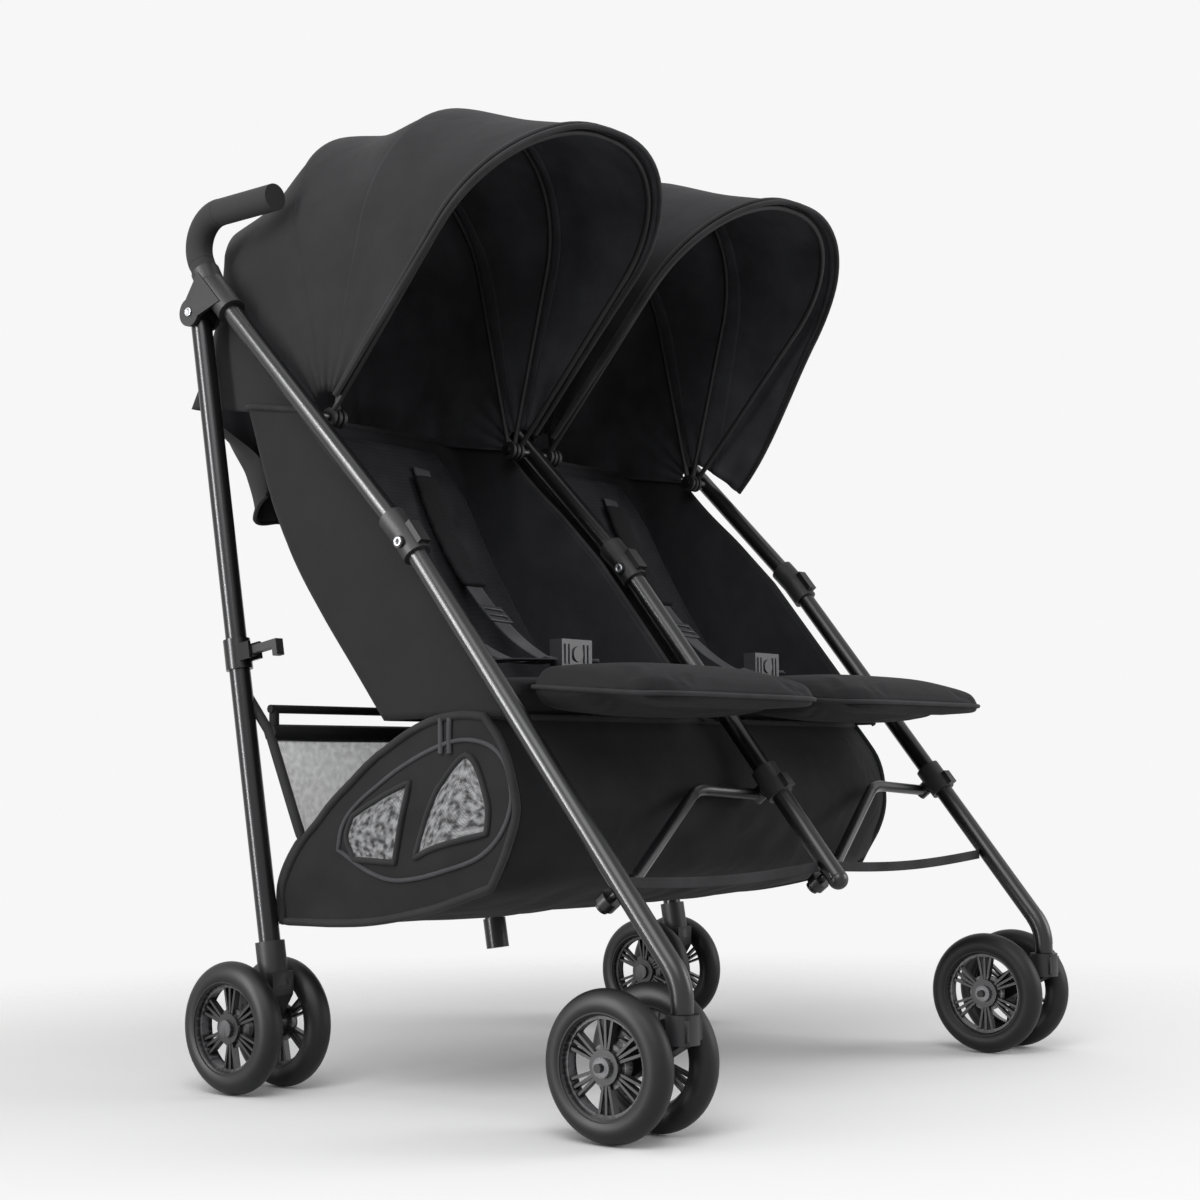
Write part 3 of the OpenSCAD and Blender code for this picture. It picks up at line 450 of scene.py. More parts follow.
def likeness(node, name):
    """A CAD piece's own shape as a new mesh, with its loose triangles joined."""
    piece = stand(name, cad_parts[node].data.copy())
    bpy.ops.mesh.customdata_custom_splitnormals_clear()
    bpy.ops.object.mode_set(mode="EDIT")
    bpy.ops.mesh.select_all(action="SELECT")
    bpy.ops.mesh.remove_doubles(threshold=0.000002)
    bpy.ops.object.mode_set(mode="OBJECT")
    bpy.ops.object.shade_smooth_by_angle(angle=math.radians(35))
    piece.data.materials.clear()
    return piece


wire, tree, shader = begin("black_coated_wire", Base_Color=linear("#0c0c0d"), Roughness=0.6, IOR=1.45)
place = add(tree, "ShaderNodeTexCoord").outputs["Object"]
speck = add(tree, "ShaderNodeTexNoise", {"Vector": place, "Scale": 1 / 0.003, "Detail": 3.0})
satin = add(tree, "ShaderNodeMapRange", {"Value": speck.outputs["Fac"], "To Min": 0.55, "To Max": 0.7})
tree.links.new(satin.outputs["Result"], shader.inputs["Roughness"])
for side in ("right", "left"):
    for part, body in (("front", f"{side}_front_bow"), ("mid", f"{side}_mid_bow"), ("rear", "centre_frame")):
        bow = likeness(f"{side}_bow_{part}", f"{side}_wire_{part}")
        bow.data.materials.append(wire)
        soft(bow, body, "bow", f"{side}_bow_{part}")

# Seat cushions.
# Foam sewn into a woven cover, crowned across, with two stitched channels from front to back
# and one across near the front edge. They sit between the tubes.


def stuffed(name, shape, held, most, material, voxel=0.005, push=4.0):
    """A padded cover: a box is shaped, remeshed and blown up as stuffing does, with held points kept down."""
    bpy.ops.object.select_all(action="DESELECT")
    bpy.ops.mesh.primitive_cube_add(size=2)
    piece = bpy.context.object
    piece.name = piece.data.name = name
    bpy.ops.object.mode_set(mode="EDIT")
    bpy.ops.mesh.select_all(action="SELECT")
    bpy.ops.mesh.subdivide(number_cuts=23)
    bpy.ops.object.mode_set(mode="OBJECT")
    for v in piece.data.vertices:
        v.co = shape(*v.co)
    even = piece.modifiers.new("even", "REMESH")
    even.mode, even.voxel_size = "VOXEL", voxel
    bpy.ops.object.modifier_apply(modifier="even")
    painted_edge_light_and_smoothing = piece.modifiers.new("painted_edge_light_and_smoothing", "SMOOTH")
    painted_edge_light_and_smoothing.factor, painted_edge_light_and_smoothing.iterations = 0.5, 5
    bpy.ops.object.modifier_apply(modifier="painted_edge_light_and_smoothing")
    before = [v.co.copy() for v in piece.data.vertices]
    group = piece.vertex_groups.new(name="held")
    for v in piece.data.vertices:
        group.add([v.index], held(v.co, v.normal), "REPLACE")
    stuffing = piece.modifiers.new("stuffing", "CLOTH")
    stuffing.settings.vertex_group_mass = "held"
    stuffing.settings.use_pressure = True
    stuffing.settings.uniform_pressure_force = push
    stuffing.settings.effector_weights.gravity = 0
    stuffing.settings.quality = 5
    stuffing.settings.tension_stiffness = stuffing.settings.compression_stiffness = 12
    for step in range(1, 21):
        bpy.context.scene.frame_set(step)
    blown = piece.evaluated_get(bpy.context.evaluated_depsgraph_get()).data
    after = [v.co.copy() for v in blown.vertices]
    piece.modifiers.remove(stuffing)
    bpy.context.scene.frame_set(1)
    piece.vertex_groups.clear()
    for v, a, b in zip(piece.data.vertices, before, after):
        way = b - a
        v.co = a + way * min(1, most / max(way.length, 1e-9))
    finer = piece.modifiers.new("finer", "SUBSURF")
    finer.levels = finer.render_levels = 1
    bpy.ops.object.modifier_apply(modifier="finer")
    bpy.ops.object.shade_smooth()
    piece.data.materials.append(material)
    return piece


def copied(piece, name, move):
    """The same piece again under a new name, with its own mesh, moved by a matrix."""
    other = piece.copy()
    other.data = piece.data.copy()
    other.name = other.data.name = name
    bpy.context.collection.objects.link(other)
    other.data.transform(move)
    return other


def both(piece, name):
    """A piece of the right seat and its copy at the left one, each with its side and its seat's middle."""
    other = copied(piece, name, Matrix.Translation((2 * seat_x, 0, 0)))
    return ("right", -seat_x, piece), ("left", seat_x, other)


def quilted(name, dark, light, thread):
    """Woven cover over foam. Its threads are laid by place, because a remeshed cover has no UV map."""
    material, tree, shader = begin(
        name, Roughness=0.88, Specular_IOR_Level=0.22, Sheen_Weight=0.08, Sheen_Roughness=0.5,
    )
    shader.inputs["Sheen Tint"].default_value = linear("#808084")
    place = add(tree, "ShaderNodeTexCoord").outputs["Object"]
    # turned so that the threads run across and up the slope of the seat
    turned = add(tree, "ShaderNodeMapping", {"Vector": place, "Rotation": (math.radians(50), 0, 0)})
    over = weave(tree, turned.outputs["Vector"], thread, "MULTIPLY")
    blotch = add(tree, "ShaderNodeTexNoise", {"Vector": place, "Scale": 1 / 0.035, "Detail": 5.0})
    mixed = add(
        tree, "ShaderNodeMath", {0: over.outputs["Value"], 1: 0.4, 2: blotch.outputs["Fac"]},
        operation="MULTIPLY_ADD",
    )
    share = add(
        tree, "ShaderNodeMapRange", {"Value": mixed.outputs["Value"], "From Min": 0.3, "From Max": 1.0},
    )
    tone = add(
        tree, "ShaderNodeMix", {0: share.outputs["Result"], 6: linear(dark), 7: linear(light)},
        data_type="RGBA",
    )
    tree.links.new(tone.outputs[2], shader.inputs["Base Color"])
    crinkle = add(tree, "ShaderNodeTexNoise", {"Vector": place, "Scale": 1 / 0.018, "Detail": 3.0})
    height = add(
        tree, "ShaderNodeMath", {0: crinkle.outputs["Fac"], 1: 4.0, 2: over.outputs["Value"]},
        operation="MULTIPLY_ADD",
    )
    bump = add(
        tree, "ShaderNodeBump", {"Height": height.outputs["Value"], "Strength": 0.25, "Distance": 0.0004},
    )
    tree.links.new(bump.outputs["Normal"], shader.inputs["Normal"])
    return material


# thread spacing of 0.6 mm, drawn at 1.8 mm so that it shows
seat_cover = quilted("quilted_seat_cover", "#101012", "#1c1c1e", 0.0018)


def cushion_shape(a, b, c):
    up = (c + 1) / 2
    front, back = between(-0.074, -0.108, up), between(0.038, 0.060, up)
    crown = 0.006 * (1 - a**4) * (1 - b**4) * max(0, c)
    x = -seat_x + a * 0.148 * (1 - 0.05 * b**4)
    return Vector((x, aft + between(front, back, (b + 1) / 2), between(0.377, 0.408, up) + crown))


def cushion_held(p, n):
    channel = min(abs(abs(p.x + seat_x) - 0.058), abs(p.y - aft + 0.092))
    return 1.0 if n.z < -0.3 or (channel < 0.003 and n.z > 0.3) else 0.0


cushion = stuffed("right_cushion", cushion_shape, cushion_held, 0.009, seat_cover)
for side, _, piece in both(cushion, "left_cushion"):
    soft(piece, "centre_frame", "seat_cloth", f"{side}_seat")

# Back rests.
# A cloth bucket runs from tube to tube round the seat, bound along its free edges. A foam pad
# with sewn channels is held against it, and the whole back leans further on a strap.


def back_line(t):
    """Fore and aft place and height of the back's outer face, t from 0 at the seat to 1 at the top."""
    lean, long, bow = math.radians(31.4), 0.380, 0.010
    return 0.086 + t * long * math.sin(lean) + bow * math.sin(math.pi * t), 0.374 + t * long * math.cos(lean)


def tube_rear(z):
    """Where the cloth starts, just behind the push tubes at a height."""
    bend_y, bend_z, behind = 0.025, 0.552, 0.022
    slope = math.radians(51.8 if z < bend_z else 45.9)
    return bend_y + (z - bend_z) / math.tan(slope) + behind


def bucket_point(x_mid, u, t):
    y, z = back_line(t)
    start = tube_rear(z)
    x, r, out = arch(0.1585, y + 0.012 * math.sin(math.pi * t) - start, 0.026, 0, u)
    pull = 0.0025 * noise.noise(Vector((x * 7, t * 3.0, 1.5))) * ease(min(u, 1 - u), 0.0, 0.12)
    # the top edge rises to the back, and stays under the canopy's lower edge
    edge_z, edge_slope, level_z = 0.692, 0.164, 0.6984
    z += ease(t, 0.7, 1.0) * (edge_z + edge_slope * (start + r - pin_aft) - level_z)
    return Vector((x_mid + x + out[0] * pull, aft + start + r + out[1] * pull, z))


def back_pad_shape(a, b, c):
    t = (b + 1) / 2
    y, z = back_line(between(0.02, 0.985, t))
    half = 0.139 * (1 - 0.16 * max(0, (t - 0.8) / 0.2) ** 2)
    depth = between(0.029, 0.006, (c + 1) / 2)
    return Vector((-seat_x + a * half, aft + y - depth - 0.004 * (1 - a * a) * (c < 0), z))


def back_pad_held(p, n):
    aside, channel_x, channel_z = abs(p.x + seat_x), 0.066, 0.612
    channel = min(abs(aside - channel_x), abs(p.z - channel_z) if aside < channel_x else 1)
    return 1.0 if n.y > 0.2 or (channel < 0.003 and n.y < -0.2) else 0.0


# the bucket's inner faces are painted paler: painted light that lifts the shade inside the seat
seat_cloth = woven("woven_seat_cloth", "#0e0e10", "#1b1b1d", 0.0016, 0.07, 0.12, ("#1e1e21", "#343437"))
# the back pad's cover is a paler copy of the seat cover: painted light that lifts the shade on the pad
back_cover_painted_lighter = quilted("quilted_back_cover", "#19191c", "#2d2d30", 0.0018)
back_pad = stuffed("right_back_pad", back_pad_shape, back_pad_held, 0.008, back_cover_painted_lighter)
for side, x_mid, pad in both(back_pad, "left_back_pad"):
    bucket = cloth(
        f"{side}_bucket", 96, 44, lambda u, v: bucket_point(x_mid, u, v),
        (x_mid, aft + 0.06, 0.55), 0.0025, seat_cloth,
    )
    cut_sheet(bucket)
    soft(bucket, f"{side}_back", "seat_cloth", f"{side}_backrest")
    soft(pad, f"{side}_back", "seat_cloth", f"{side}_backrest")
    top = [bucket_point(x_mid, i / 96, 1.0) + Vector((0, -0.001, 0.0)) for i in range(97)]
    soft(rolled(f"{side}_back_top_edge", top, 0.0034, edging), f"{side}_back", "seat_cloth")
    for end, u in (("outer", 0.0), ("inner", 1.0)):
        hem = [bucket_point(x_mid, u, i / 40) for i in range(41)]
        soft(rolled(f"{side}_back_{end}_hem", hem, 0.003, edging), f"{side}_back", "seat_cloth")

# Leg rests.
# Padded flaps hinged in front of the seats, thicker at the hinge than at the tip, with a
# corded seam round the edge.

calf_y, calf_z, calf_long = aft - 0.1155, 0.400, 0.142


def calf_shape(a, b, c):
    v, up = (1 - b) / 2, (c + 1) / 2
    half = 0.150 * (1 - 0.06 * v**6)
    top = calf_z + between(0.021, 0.005, v) + 0.006 * (1 - a**4) * math.sin(math.pi * v)
    low = calf_z - between(0.020, 0.024, v)
    tip = 0.2 + 0.8 * math.sqrt(1 - min(1, max(0, (v - 0.88) / 0.12)) ** 2)
    side = 0.25 + 0.75 * math.sqrt(1 - min(1, max(0, (abs(a) - 0.84) / 0.16)) ** 2)
    level = between((top + low) / 2, between(low, top, up), tip * side)
    # the underside is hollow where the cross bar comes to lie when the flap hangs down
    hollow = 0.010 * max(0, -c) * side * ease(v, 0.46, 0.64) * (1 - ease(v, 0.84, 1.0))
    return Vector((-seat_x + a * half, calf_y - v * calf_long * (1 - 0.14 * a**8), level + hollow))


def calf_held(p, n):
    rim = abs(p.z - between(0.4005, 0.3895, (calf_y - p.y) / calf_long))
    return 1.0 if (rim < 0.0025 and abs(n.z) < 0.6) or n.y > 0.7 else 0.0


calf = stuffed("right_calf_pad", calf_shape, calf_held, 0.006, seat_cover)
for side, x_mid, piece in both(calf, "left_calf_pad"):
    soft(piece, f"{side}_calf", "seat_cloth", f"{side}_leg_rest")
    left_edge = [calf_shape(-1, 1 - 2 * i / 30, 0) for i in range(31)]
    tip_edge = [calf_shape(-1 + 2 * i / 30, -1, 0) for i in range(31)]
    right_edge = [calf_shape(1, -1 + 2 * i / 30, 0) for i in range(31)]
    corded = [p + Vector((x_mid + seat_x, 0, 0)) for p in left_edge + tip_edge[1:] + right_edge[1:]]
    soft(rolled(f"{side}_calf_piping", corded, 0.0022, edging), f"{side}_calf", "seat_cloth")

# Basket.
# A sewn cloth bag hung under the seats between the tubes and the rear legs. Its floor sags,
# its D-shaped ends have two net windows each, and its back is net with a banded hem.


def smooth_line(points, t):
    """A point on a smooth line through the given ones, t from 0 to 1."""
    at = min(len(points) - 1.000001, max(0, t * (len(points) - 1)))
    i = int(at)
    f = at - i
    a, b, c, d = (Vector(points[min(len(points) - 1, max(0, k))]) for k in (i - 1, i, i + 1, i + 2))
    return 0.5 * (2 * b + (c - a) * f + (2 * a - 5 * b + 4 * c - d) * f * f + (3 * b - a - 3 * c + d) * f**3)


def patch_point(low, high, left, right, u, v):
    """A point inside four lines that meet at their ends, u along low and high, v along left and right."""
    a, b, c, d = smooth_line(low, u), smooth_line(high, u), smooth_line(left, v), smooth_line(right, v)
    p, q, r, s = smooth_line(low, 0), smooth_line(low, 1), smooth_line(high, 0), smooth_line(high, 1)
    sides = a * (1 - v) + b * v + c * (1 - u) + d * u
    return sides - (p * (1 - u) + q * u) * (1 - v) - (r * (1 - u) + s * u) * v


def netting(name, dark, thread, pitch, share):
    """Knitted net: pale threads on the slant with open holes between them."""
    material, tree, shader = begin(name, Base_Color=linear(thread), Roughness=0.7, IOR=1.45)
    flat = add(tree, "ShaderNodeUVMap").outputs["UV"]
    slant = add(tree, "ShaderNodeMapping", {"Vector": flat, "Rotation": (0, 0, math.radians(45))})
    top = weave(tree, slant.outputs["Vector"], pitch, "MAXIMUM")
    solid = add(tree, "ShaderNodeMath", {0: top.outputs["Value"], 1: share}, operation="GREATER_THAN")
    tree.links.new(solid.outputs["Value"], shader.inputs["Alpha"])
    shade = add(tree, "ShaderNodeTexNoise", {"Vector": flat, "Scale": 1 / 0.008, "Detail": 3.0})
    spread = add(
        tree, "ShaderNodeMapRange", {"Value": shade.outputs["Fac"], "From Min": 0.36, "From Max": 0.64},
    )
    tone = add(
        tree, "ShaderNodeMix", {0: spread.outputs["Result"], 6: linear(dark), 7: linear(thread)},
        data_type="RGBA",
    )
    tree.links.new(tone.outputs[2], shader.inputs["Base Color"])
    return material


basket_cloth = woven("woven_basket_cloth", "#0d0d0f", "#1b1b1d", 0.0016, 0.07, 0.15)
piped = woven("pale_piping", "#363638", "#5c5c5f", 0.0012, 0.3)
# net holes of 1.2 mm, drawn at 2.4 mm so that they show
net = netting("pale_net", "#b4b4b6", "#ececed", 0.0024, 0.85)
window_net = netting("grey_window_net", "#1e1e20", "#b8b8ba", 0.0024, 0.5)
hem_y, hem_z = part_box("basket")[1].y - 0.008, 0.3656
end_x, net_x = 0.3325, 0.331
end_low = [(0.216, 0.172), (0.098, 0.175), (0.000, 0.192), (-0.070, 0.213)]
end_front = [(-0.070, 0.213), (-0.092, 0.250), (-0.103, 0.290), (-0.092, 0.336), (-0.064, 0.374)]
mid_front = [(-0.098, 0.222), (-0.120, 0.254), (-0.135, 0.288), (-0.115, 0.336), (-0.084, 0.373)]
end_high = [(0.075, 0.340), (0.016, 0.368), (-0.030, 0.376), (-0.064, 0.374)]
end_rear = [(0.216, 0.172), (0.213, 0.212), (0.183, 0.256), (0.128, 0.302), (0.075, 0.340)]
windows = {
    "rear": (
        [(0.108, 0.237), (0.050, 0.235)],
        [(0.110, 0.280), (0.072, 0.297), (0.030, 0.313)],
        [(0.108, 0.237), (0.118, 0.258), (0.110, 0.280)],
        [(0.050, 0.235), (0.041, 0.272), (0.030, 0.313)],
    ),
    "fore": (
        [(0.024, 0.240), (-0.003, 0.250), (-0.067, 0.264)],
        [(-0.010, 0.308), (-0.042, 0.338), (-0.062, 0.314)],
        [(0.024, 0.240), (0.010, 0.276), (-0.010, 0.308)],
        [(-0.067, 0.264), (-0.070, 0.290), (-0.062, 0.314)],
    ),
}
piping = [
    (0.132, 0.246), (0.060, 0.218), (-0.030, 0.232), (-0.078, 0.256), (-0.098, 0.296), (-0.088, 0.334),
    (-0.050, 0.352), (0.000, 0.345), (0.060, 0.318), (0.116, 0.282), (0.132, 0.246),
]


def tub_point(u, v):
    x = between(-end_x, end_x, u)
    middle, end = (smooth_line(end_low[:-1] + front, v) for front in (mid_front, end_front))
    y, z = middle.lerp(end, abs(x / end_x) ** 6)
    full = (1 - (x / end_x) ** 6) * math.sin(math.pi * min(1, v * 1.15))
    ripple = noise.noise(Vector((x * 9, v * 6, 3.0))) + 0.6 * noise.noise(Vector((x * 24, v * 11, 5.0)))
    low = ease(0.45 - v, -0.15, 0.15)
    belly, sag = (1 - low) * full * (0.006 + 0.006 * ripple), low * full * (0.010 + 0.004 * ripple)
    return Vector((x, aft + y + belly, z - sag))


def basket_edge(name, points, radius, material, closed=False):
    """A rolled edge or cord of the basket, which goes where the basket goes."""
    soft(rolled(name, points, radius, material, closed), "centre_frame", "basket_cloth")


tub = cloth("basket_tub", 120, 60, tub_point, (0, aft + 0.05, 0.33), 0.0014, basket_cloth)
cut_sheet(tub)
soft(tub, "centre_frame", "basket_cloth", "basket")


def back_net_point(u, v):
    # the net hangs straight in the middle, and at its ends follows the arc of the end panel half way up
    x = between(-net_x, net_x, u)
    slack = 0.004 * math.sin(math.pi * v) * (1 + noise.noise(Vector((x * 6, v * 2, 9.0))))
    straight = Vector((between(0.216, hem_y - aft, v), between(0.173, hem_z, v)))
    pulled = smooth_line(end_rear, min(0.5, v)).lerp(Vector((hem_y - aft, hem_z)), max(0, 2 * v - 1))
    y, z = straight.lerp(pulled, abs(x / net_x) ** 9)
    return Vector((x, aft + y + slack, z))


back_net = cloth("basket_back_net", 100, 36, back_net_point, (0, aft, 0.3), 0.0008, net)
cut_sheet(back_net)
soft(back_net, "centre_frame", "basket_cloth")
band = [Vector((between(-net_x, net_x, i / 60), hem_y, hem_z)) for i in range(61)]
basket_edge("basket_hem_band", band, 0.0090, basket_cloth)
tape = [Vector((between(-net_x, net_x, i / 60), hem_y, hem_z + 0.0248)) for i in range(61)]
basket_edge("basket_top_cord", tape, 0.0045, basket_cloth)
for i, x in enumerate((-0.325, 0.0, 0.325)):
    tie = [Vector((x, hem_y, hem_z + 0.006 + 0.018 * k / 6)) for k in range(7)]
    basket_edge(f"basket_cord_tie_{i + 1}", tie, 0.0052, basket_cloth)
foot_seam = [tub_point(i / 60, 0.0) for i in range(61)]
basket_edge("basket_foot_seam", foot_seam, 0.0035, edging)
front_seam = [tub_point(i / 60, 1.0) for i in range(61)]
basket_edge("basket_front_seam", front_seam, 0.0035, edging)

for side, way in (("right", -1), ("left", 1)):

    def on_end(p, lift=0.0):
        """A point of an end panel from its fore and aft place and height, on a slight bulge outward."""
        bulge = 0.005 * math.exp(-(((p[0] - 0.02) / 0.09) ** 2 + ((p[1] - 0.275) / 0.06) ** 2))
        bulge += 0.0032 * noise.noise(Vector((p[0] * 24, p[1] * 24, 4.0 * way)))
        return Vector((way * (end_x + bulge + lift), aft + p[0], p[1]))

    panel = cloth(
        f"basket_{side}_end", 72, 48,
        lambda u, v: on_end(patch_point(end_low, end_high, end_rear, end_front, u, v)),
        (0, aft + 0.05, 0.28), 0.0014, basket_cloth,
    )
    cut_sheet(panel)
    soft(panel, "centre_frame", "basket_cloth")
    rim = [on_end(smooth_line(line, i / 24)) for line in (end_low, end_front) for i in range(24)]
    rim += [on_end(smooth_line(line[::-1], i / 24)) for line in (end_high, end_rear) for i in range(24)]
    basket_edge(f"basket_{side}_end_binding", rim, 0.0042, edging, True)
    for part, (low, high, rear, fore) in windows.items():
        pane = cloth(
            f"basket_{side}_{part}_window", 28, 28,
            lambda u, v: on_end(patch_point(low, high, rear, fore, u, v), 0.0012),
            (0, aft + 0.05, 0.26), 0.0006, window_net,
        )
        cut_sheet(pane)
        soft(pane, "centre_frame", "basket_cloth")
        line = [on_end(smooth_line(run, i / 12), 0.001) for run in (low, fore) for i in range(12)]
        line += [on_end(smooth_line(run[::-1], i / 12), 0.001) for run in (high, rear) for i in range(12)]
        basket_edge(f"basket_{side}_{part}_window_binding", line, 0.003, edging, True)
    oval = [on_end(smooth_line(piping, i / 90), 0.0008) for i in range(90)]
    basket_edge(f"basket_{side}_piping", oval, 0.0022, piped, True)

    for order, y in ((1, -0.011), (2, -0.023)):
        loop = [on_end((y, between(0.340, 0.374, i / 12)), 0.002) for i in range(13)]
        basket_edge(f"basket_{side}_loop_{order}", loop, 0.0024, piped)
    hem = [back_net_point((1 + way) / 2, i / 40) for i in range(41)]
    hem += [hem[-1].lerp(Vector((way * 0.340, aft + 0.262, 0.409)), i / 10) for i in range(1, 11)]
    basket_edge(f"basket_{side}_back_binding", hem, 0.0052, edging)

# Harness.
# Woven webbing 25 mm wide, sewn to the back behind padded sleeves and brought down through
# ladder locks to a moulded buckle. Waist straps come out between back and cushion, and a
# crotch strap holds the buckle from below.


def strap_point(way, t):
    y, z = back_line(0.90 - 0.84 * t)
    # the strap lies on the pad, 37 mm in front of the back's outer face, and bends forward to the buckle
    y, z = between(y - 0.0372, buckle_y, t**3), between(z, buckle_z, t**3)
    return Vector((way * between(0.066, 0.030, t), aft + y, z))


def waist_point(way, t):
    lift = 0.004 * math.sin(math.pi * t)
    y, z = between(0.042, buckle_y, t), between(0.423, buckle_z - 0.002, t) + lift
    return Vector((way * between(0.128, 0.026, t), aft + y, z))


def crotch_point(t):
    return Vector((0, aft + buckle_y - between(0.010, 0.052, t), between(buckle_z - 0.012, 0.419, t**0.6)))


def ribbon(x_mid, run, wide, u, t):
    """A point of a flat band along a line: u goes across it."""
    ahead = (run(min(1, t + 0.01)) - run(max(0, t - 0.01))).normalized()
    across = Vector((1, 0, 0)) - ahead * ahead.x
    return run(t) + across.normalized() * (u - 0.5) * wide + Vector((x_mid, 0, 0))


strap_wide, strap_thick = 0.025, 0.0016
low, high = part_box("right_buckle")
buckle_y, buckle_z = (low.y + high.y) / 2 - aft, (low.z + high.z) / 2
# the webbing is painted paler than the seat cloth: partly its own grey, partly painted sheen along the straps
webbing = woven("ribbed_webbing", "#2c2c2e", "#58585b", 0.0022, 0.25)
# locks and buckles are painted light grey: partly their own grey, partly a painted highlight
lock_nylon, tree, shader = begin("grey_lock_nylon", Base_Color=linear("#3c3c3f"), Roughness=0.38, IOR=1.53)
place = add(tree, "ShaderNodeTexCoord").outputs["Object"]
# mould grain of 0.3 mm, drawn at 0.9 mm so that it shows
grain = add(tree, "ShaderNodeTexNoise", {"Vector": place, "Scale": 1 / 0.0009, "Detail": 2.0})
bump = add(tree, "ShaderNodeBump", {"Height": grain.outputs["Fac"], "Strength": 0.15, "Distance": 0.0003})
tree.links.new(bump.outputs["Normal"], shader.inputs["Normal"])
dress(lock_nylon, "right_buckle", "left_buckle", "right_buckle_button", "left_buckle_button")


def sleeve_shape(way, a, b, c):
    t = between(0.04, 0.48, (b + 1) / 2)
    p, q = strap_point(way, t), strap_point(way, t + 0.01)
    out = Vector((0, (q - p).z, -(q - p).y)).normalized()
    thick = 0.0042 * (1 - 0.5 * a**4)
    return p + Vector((-seat_x + a * 0.019, 0, 0)) + out * (c * thick + 0.0020)


for end, way in (("outer", -1), ("inner", 1)):
    sleeve = stuffed(
        f"right_{end}_sleeve", lambda a, b, c: sleeve_shape(way, a, b, c),
        lambda p, n: 1.0 if n.y > 0.3 else 0.0, 0.003, seat_cover, 0.0026, 2.5,
    )
    for side, x_mid, pad in both(sleeve, f"left_{end}_sleeve"):
        for part, run, steps, body, nodes in (
            ("strap", strap_point, 60, f"{side}_back", ()),
            ("waist_strap", waist_point, 40, "centre_frame", (f"{side}_harness",)),
        ):
            strap = cloth(
                f"{side}_{end}_{part}", 8, steps,
                lambda u, v: ribbon(x_mid, lambda t: run(way, t), strap_wide, u, v),
                (x_mid, aft + 0.9, 0.3), strap_thick, webbing,
            )
            cut_sheet(strap)
            soft(strap, body, "webbing", *nodes)
        soft(pad, f"{side}_back", "webbing")
for side, x_mid in (("right", -seat_x), ("left", seat_x)):
    strap = cloth(
        f"{side}_crotch_strap", 8, 20, lambda u, v: ribbon(x_mid, crotch_point, strap_wide, u, v),
        (x_mid, aft + 0.9, 0.3), strap_thick, webbing,
    )
    cut_sheet(strap)
    soft(strap, "centre_frame", "webbing")


def pick(piece, test):
    """Goes into edit mode with only those faces selected that pass a test."""
    bpy.ops.object.mode_set(mode="EDIT")
    bpy.ops.mesh.select_mode(type="FACE")
    bpy.ops.mesh.select_all(action="DESELECT")
    bpy.ops.object.mode_set(mode="OBJECT")
    for f in piece.data.polygons:
        f.select = test(f)
    bpy.ops.object.mode_set(mode="EDIT")


# a ladder lock is a moulded frame with a bar across it
bpy.ops.object.select_all(action="DESELECT")
bpy.ops.mesh.primitive_grid_add(x_subdivisions=3, y_subdivisions=5, size=1)
ladder = bpy.context.object
for v in ladder.data.vertices:
    v.co.x = 0.0165 * math.copysign(1 if abs(v.co.x) > 0.4 else 0.8, v.co.x)
    v.co.y *= 0.027
pick(ladder, lambda f: abs(f.center.x) < 0.01 and 0.003 < abs(f.center.y) < 0.009)
bpy.ops.mesh.delete(type="FACE")
bpy.ops.object.mode_set(mode="OBJECT")
for kind, name, settings in (
    ("SOLIDIFY", "depth", {"thickness": 0.0034, "offset": 0}),
    ("BEVEL", "round", {"width": 0.0009, "segments": 3}),
):
    step = ladder.modifiers.new(name, kind)
    for key, value in settings.items():
        setattr(step, key, value)
    bpy.ops.object.modifier_apply(modifier=name)
bpy.ops.object.shade_smooth_by_angle(angle=math.radians(40))
ladder.data.materials.append(lock_nylon)
for side, x_mid in (("right", -seat_x), ("left", seat_x)):
    for end, way in (("outer", -1), ("inner", 1)):
        p, q = strap_point(way, 0.59), strap_point(way, 0.57)
        up = (q - p).normalized()
        out = Vector((1, 0, 0)).cross(up).normalized()
        turned = Matrix((up.cross(out), up, out)).transposed().to_4x4()
        move = Matrix.Translation(p + out * 0.0012 + Vector((x_mid, 0, 0))) @ turned
        soft(copied(ladder, f"{side}_{end}_ladder_lock", move), f"{side}_back", "fitting")
bpy.data.objects.remove(ladder)

# Spreader straps.
# Two narrow bands of ribbed binding between the feet of the push tubes. They come tight when
# the frame is open, and stop it from spreading further.


def spreader_point(way, u, v):
    level = 0.222 - 0.006 * math.sin(math.pi * v) + (u - 0.5) * 0.010
    return Vector((way * between(0.008, 0.337, v), aft - 0.226, level))


for side, way in (("right", -1), ("left", 1)):
    band = cloth(
        f"{side}_spreader_strap", 8, 40, lambda u, v: spreader_point(way, u, v),
        (0, aft, 0.22), strap_thick, edging,
    )
    cut_sheet(band)
    soft(band, "centre_frame", "webbing")

# Bolts.
# Zinc-plated button heads with a socket, on the clamps and on the pivots of the rear legs.

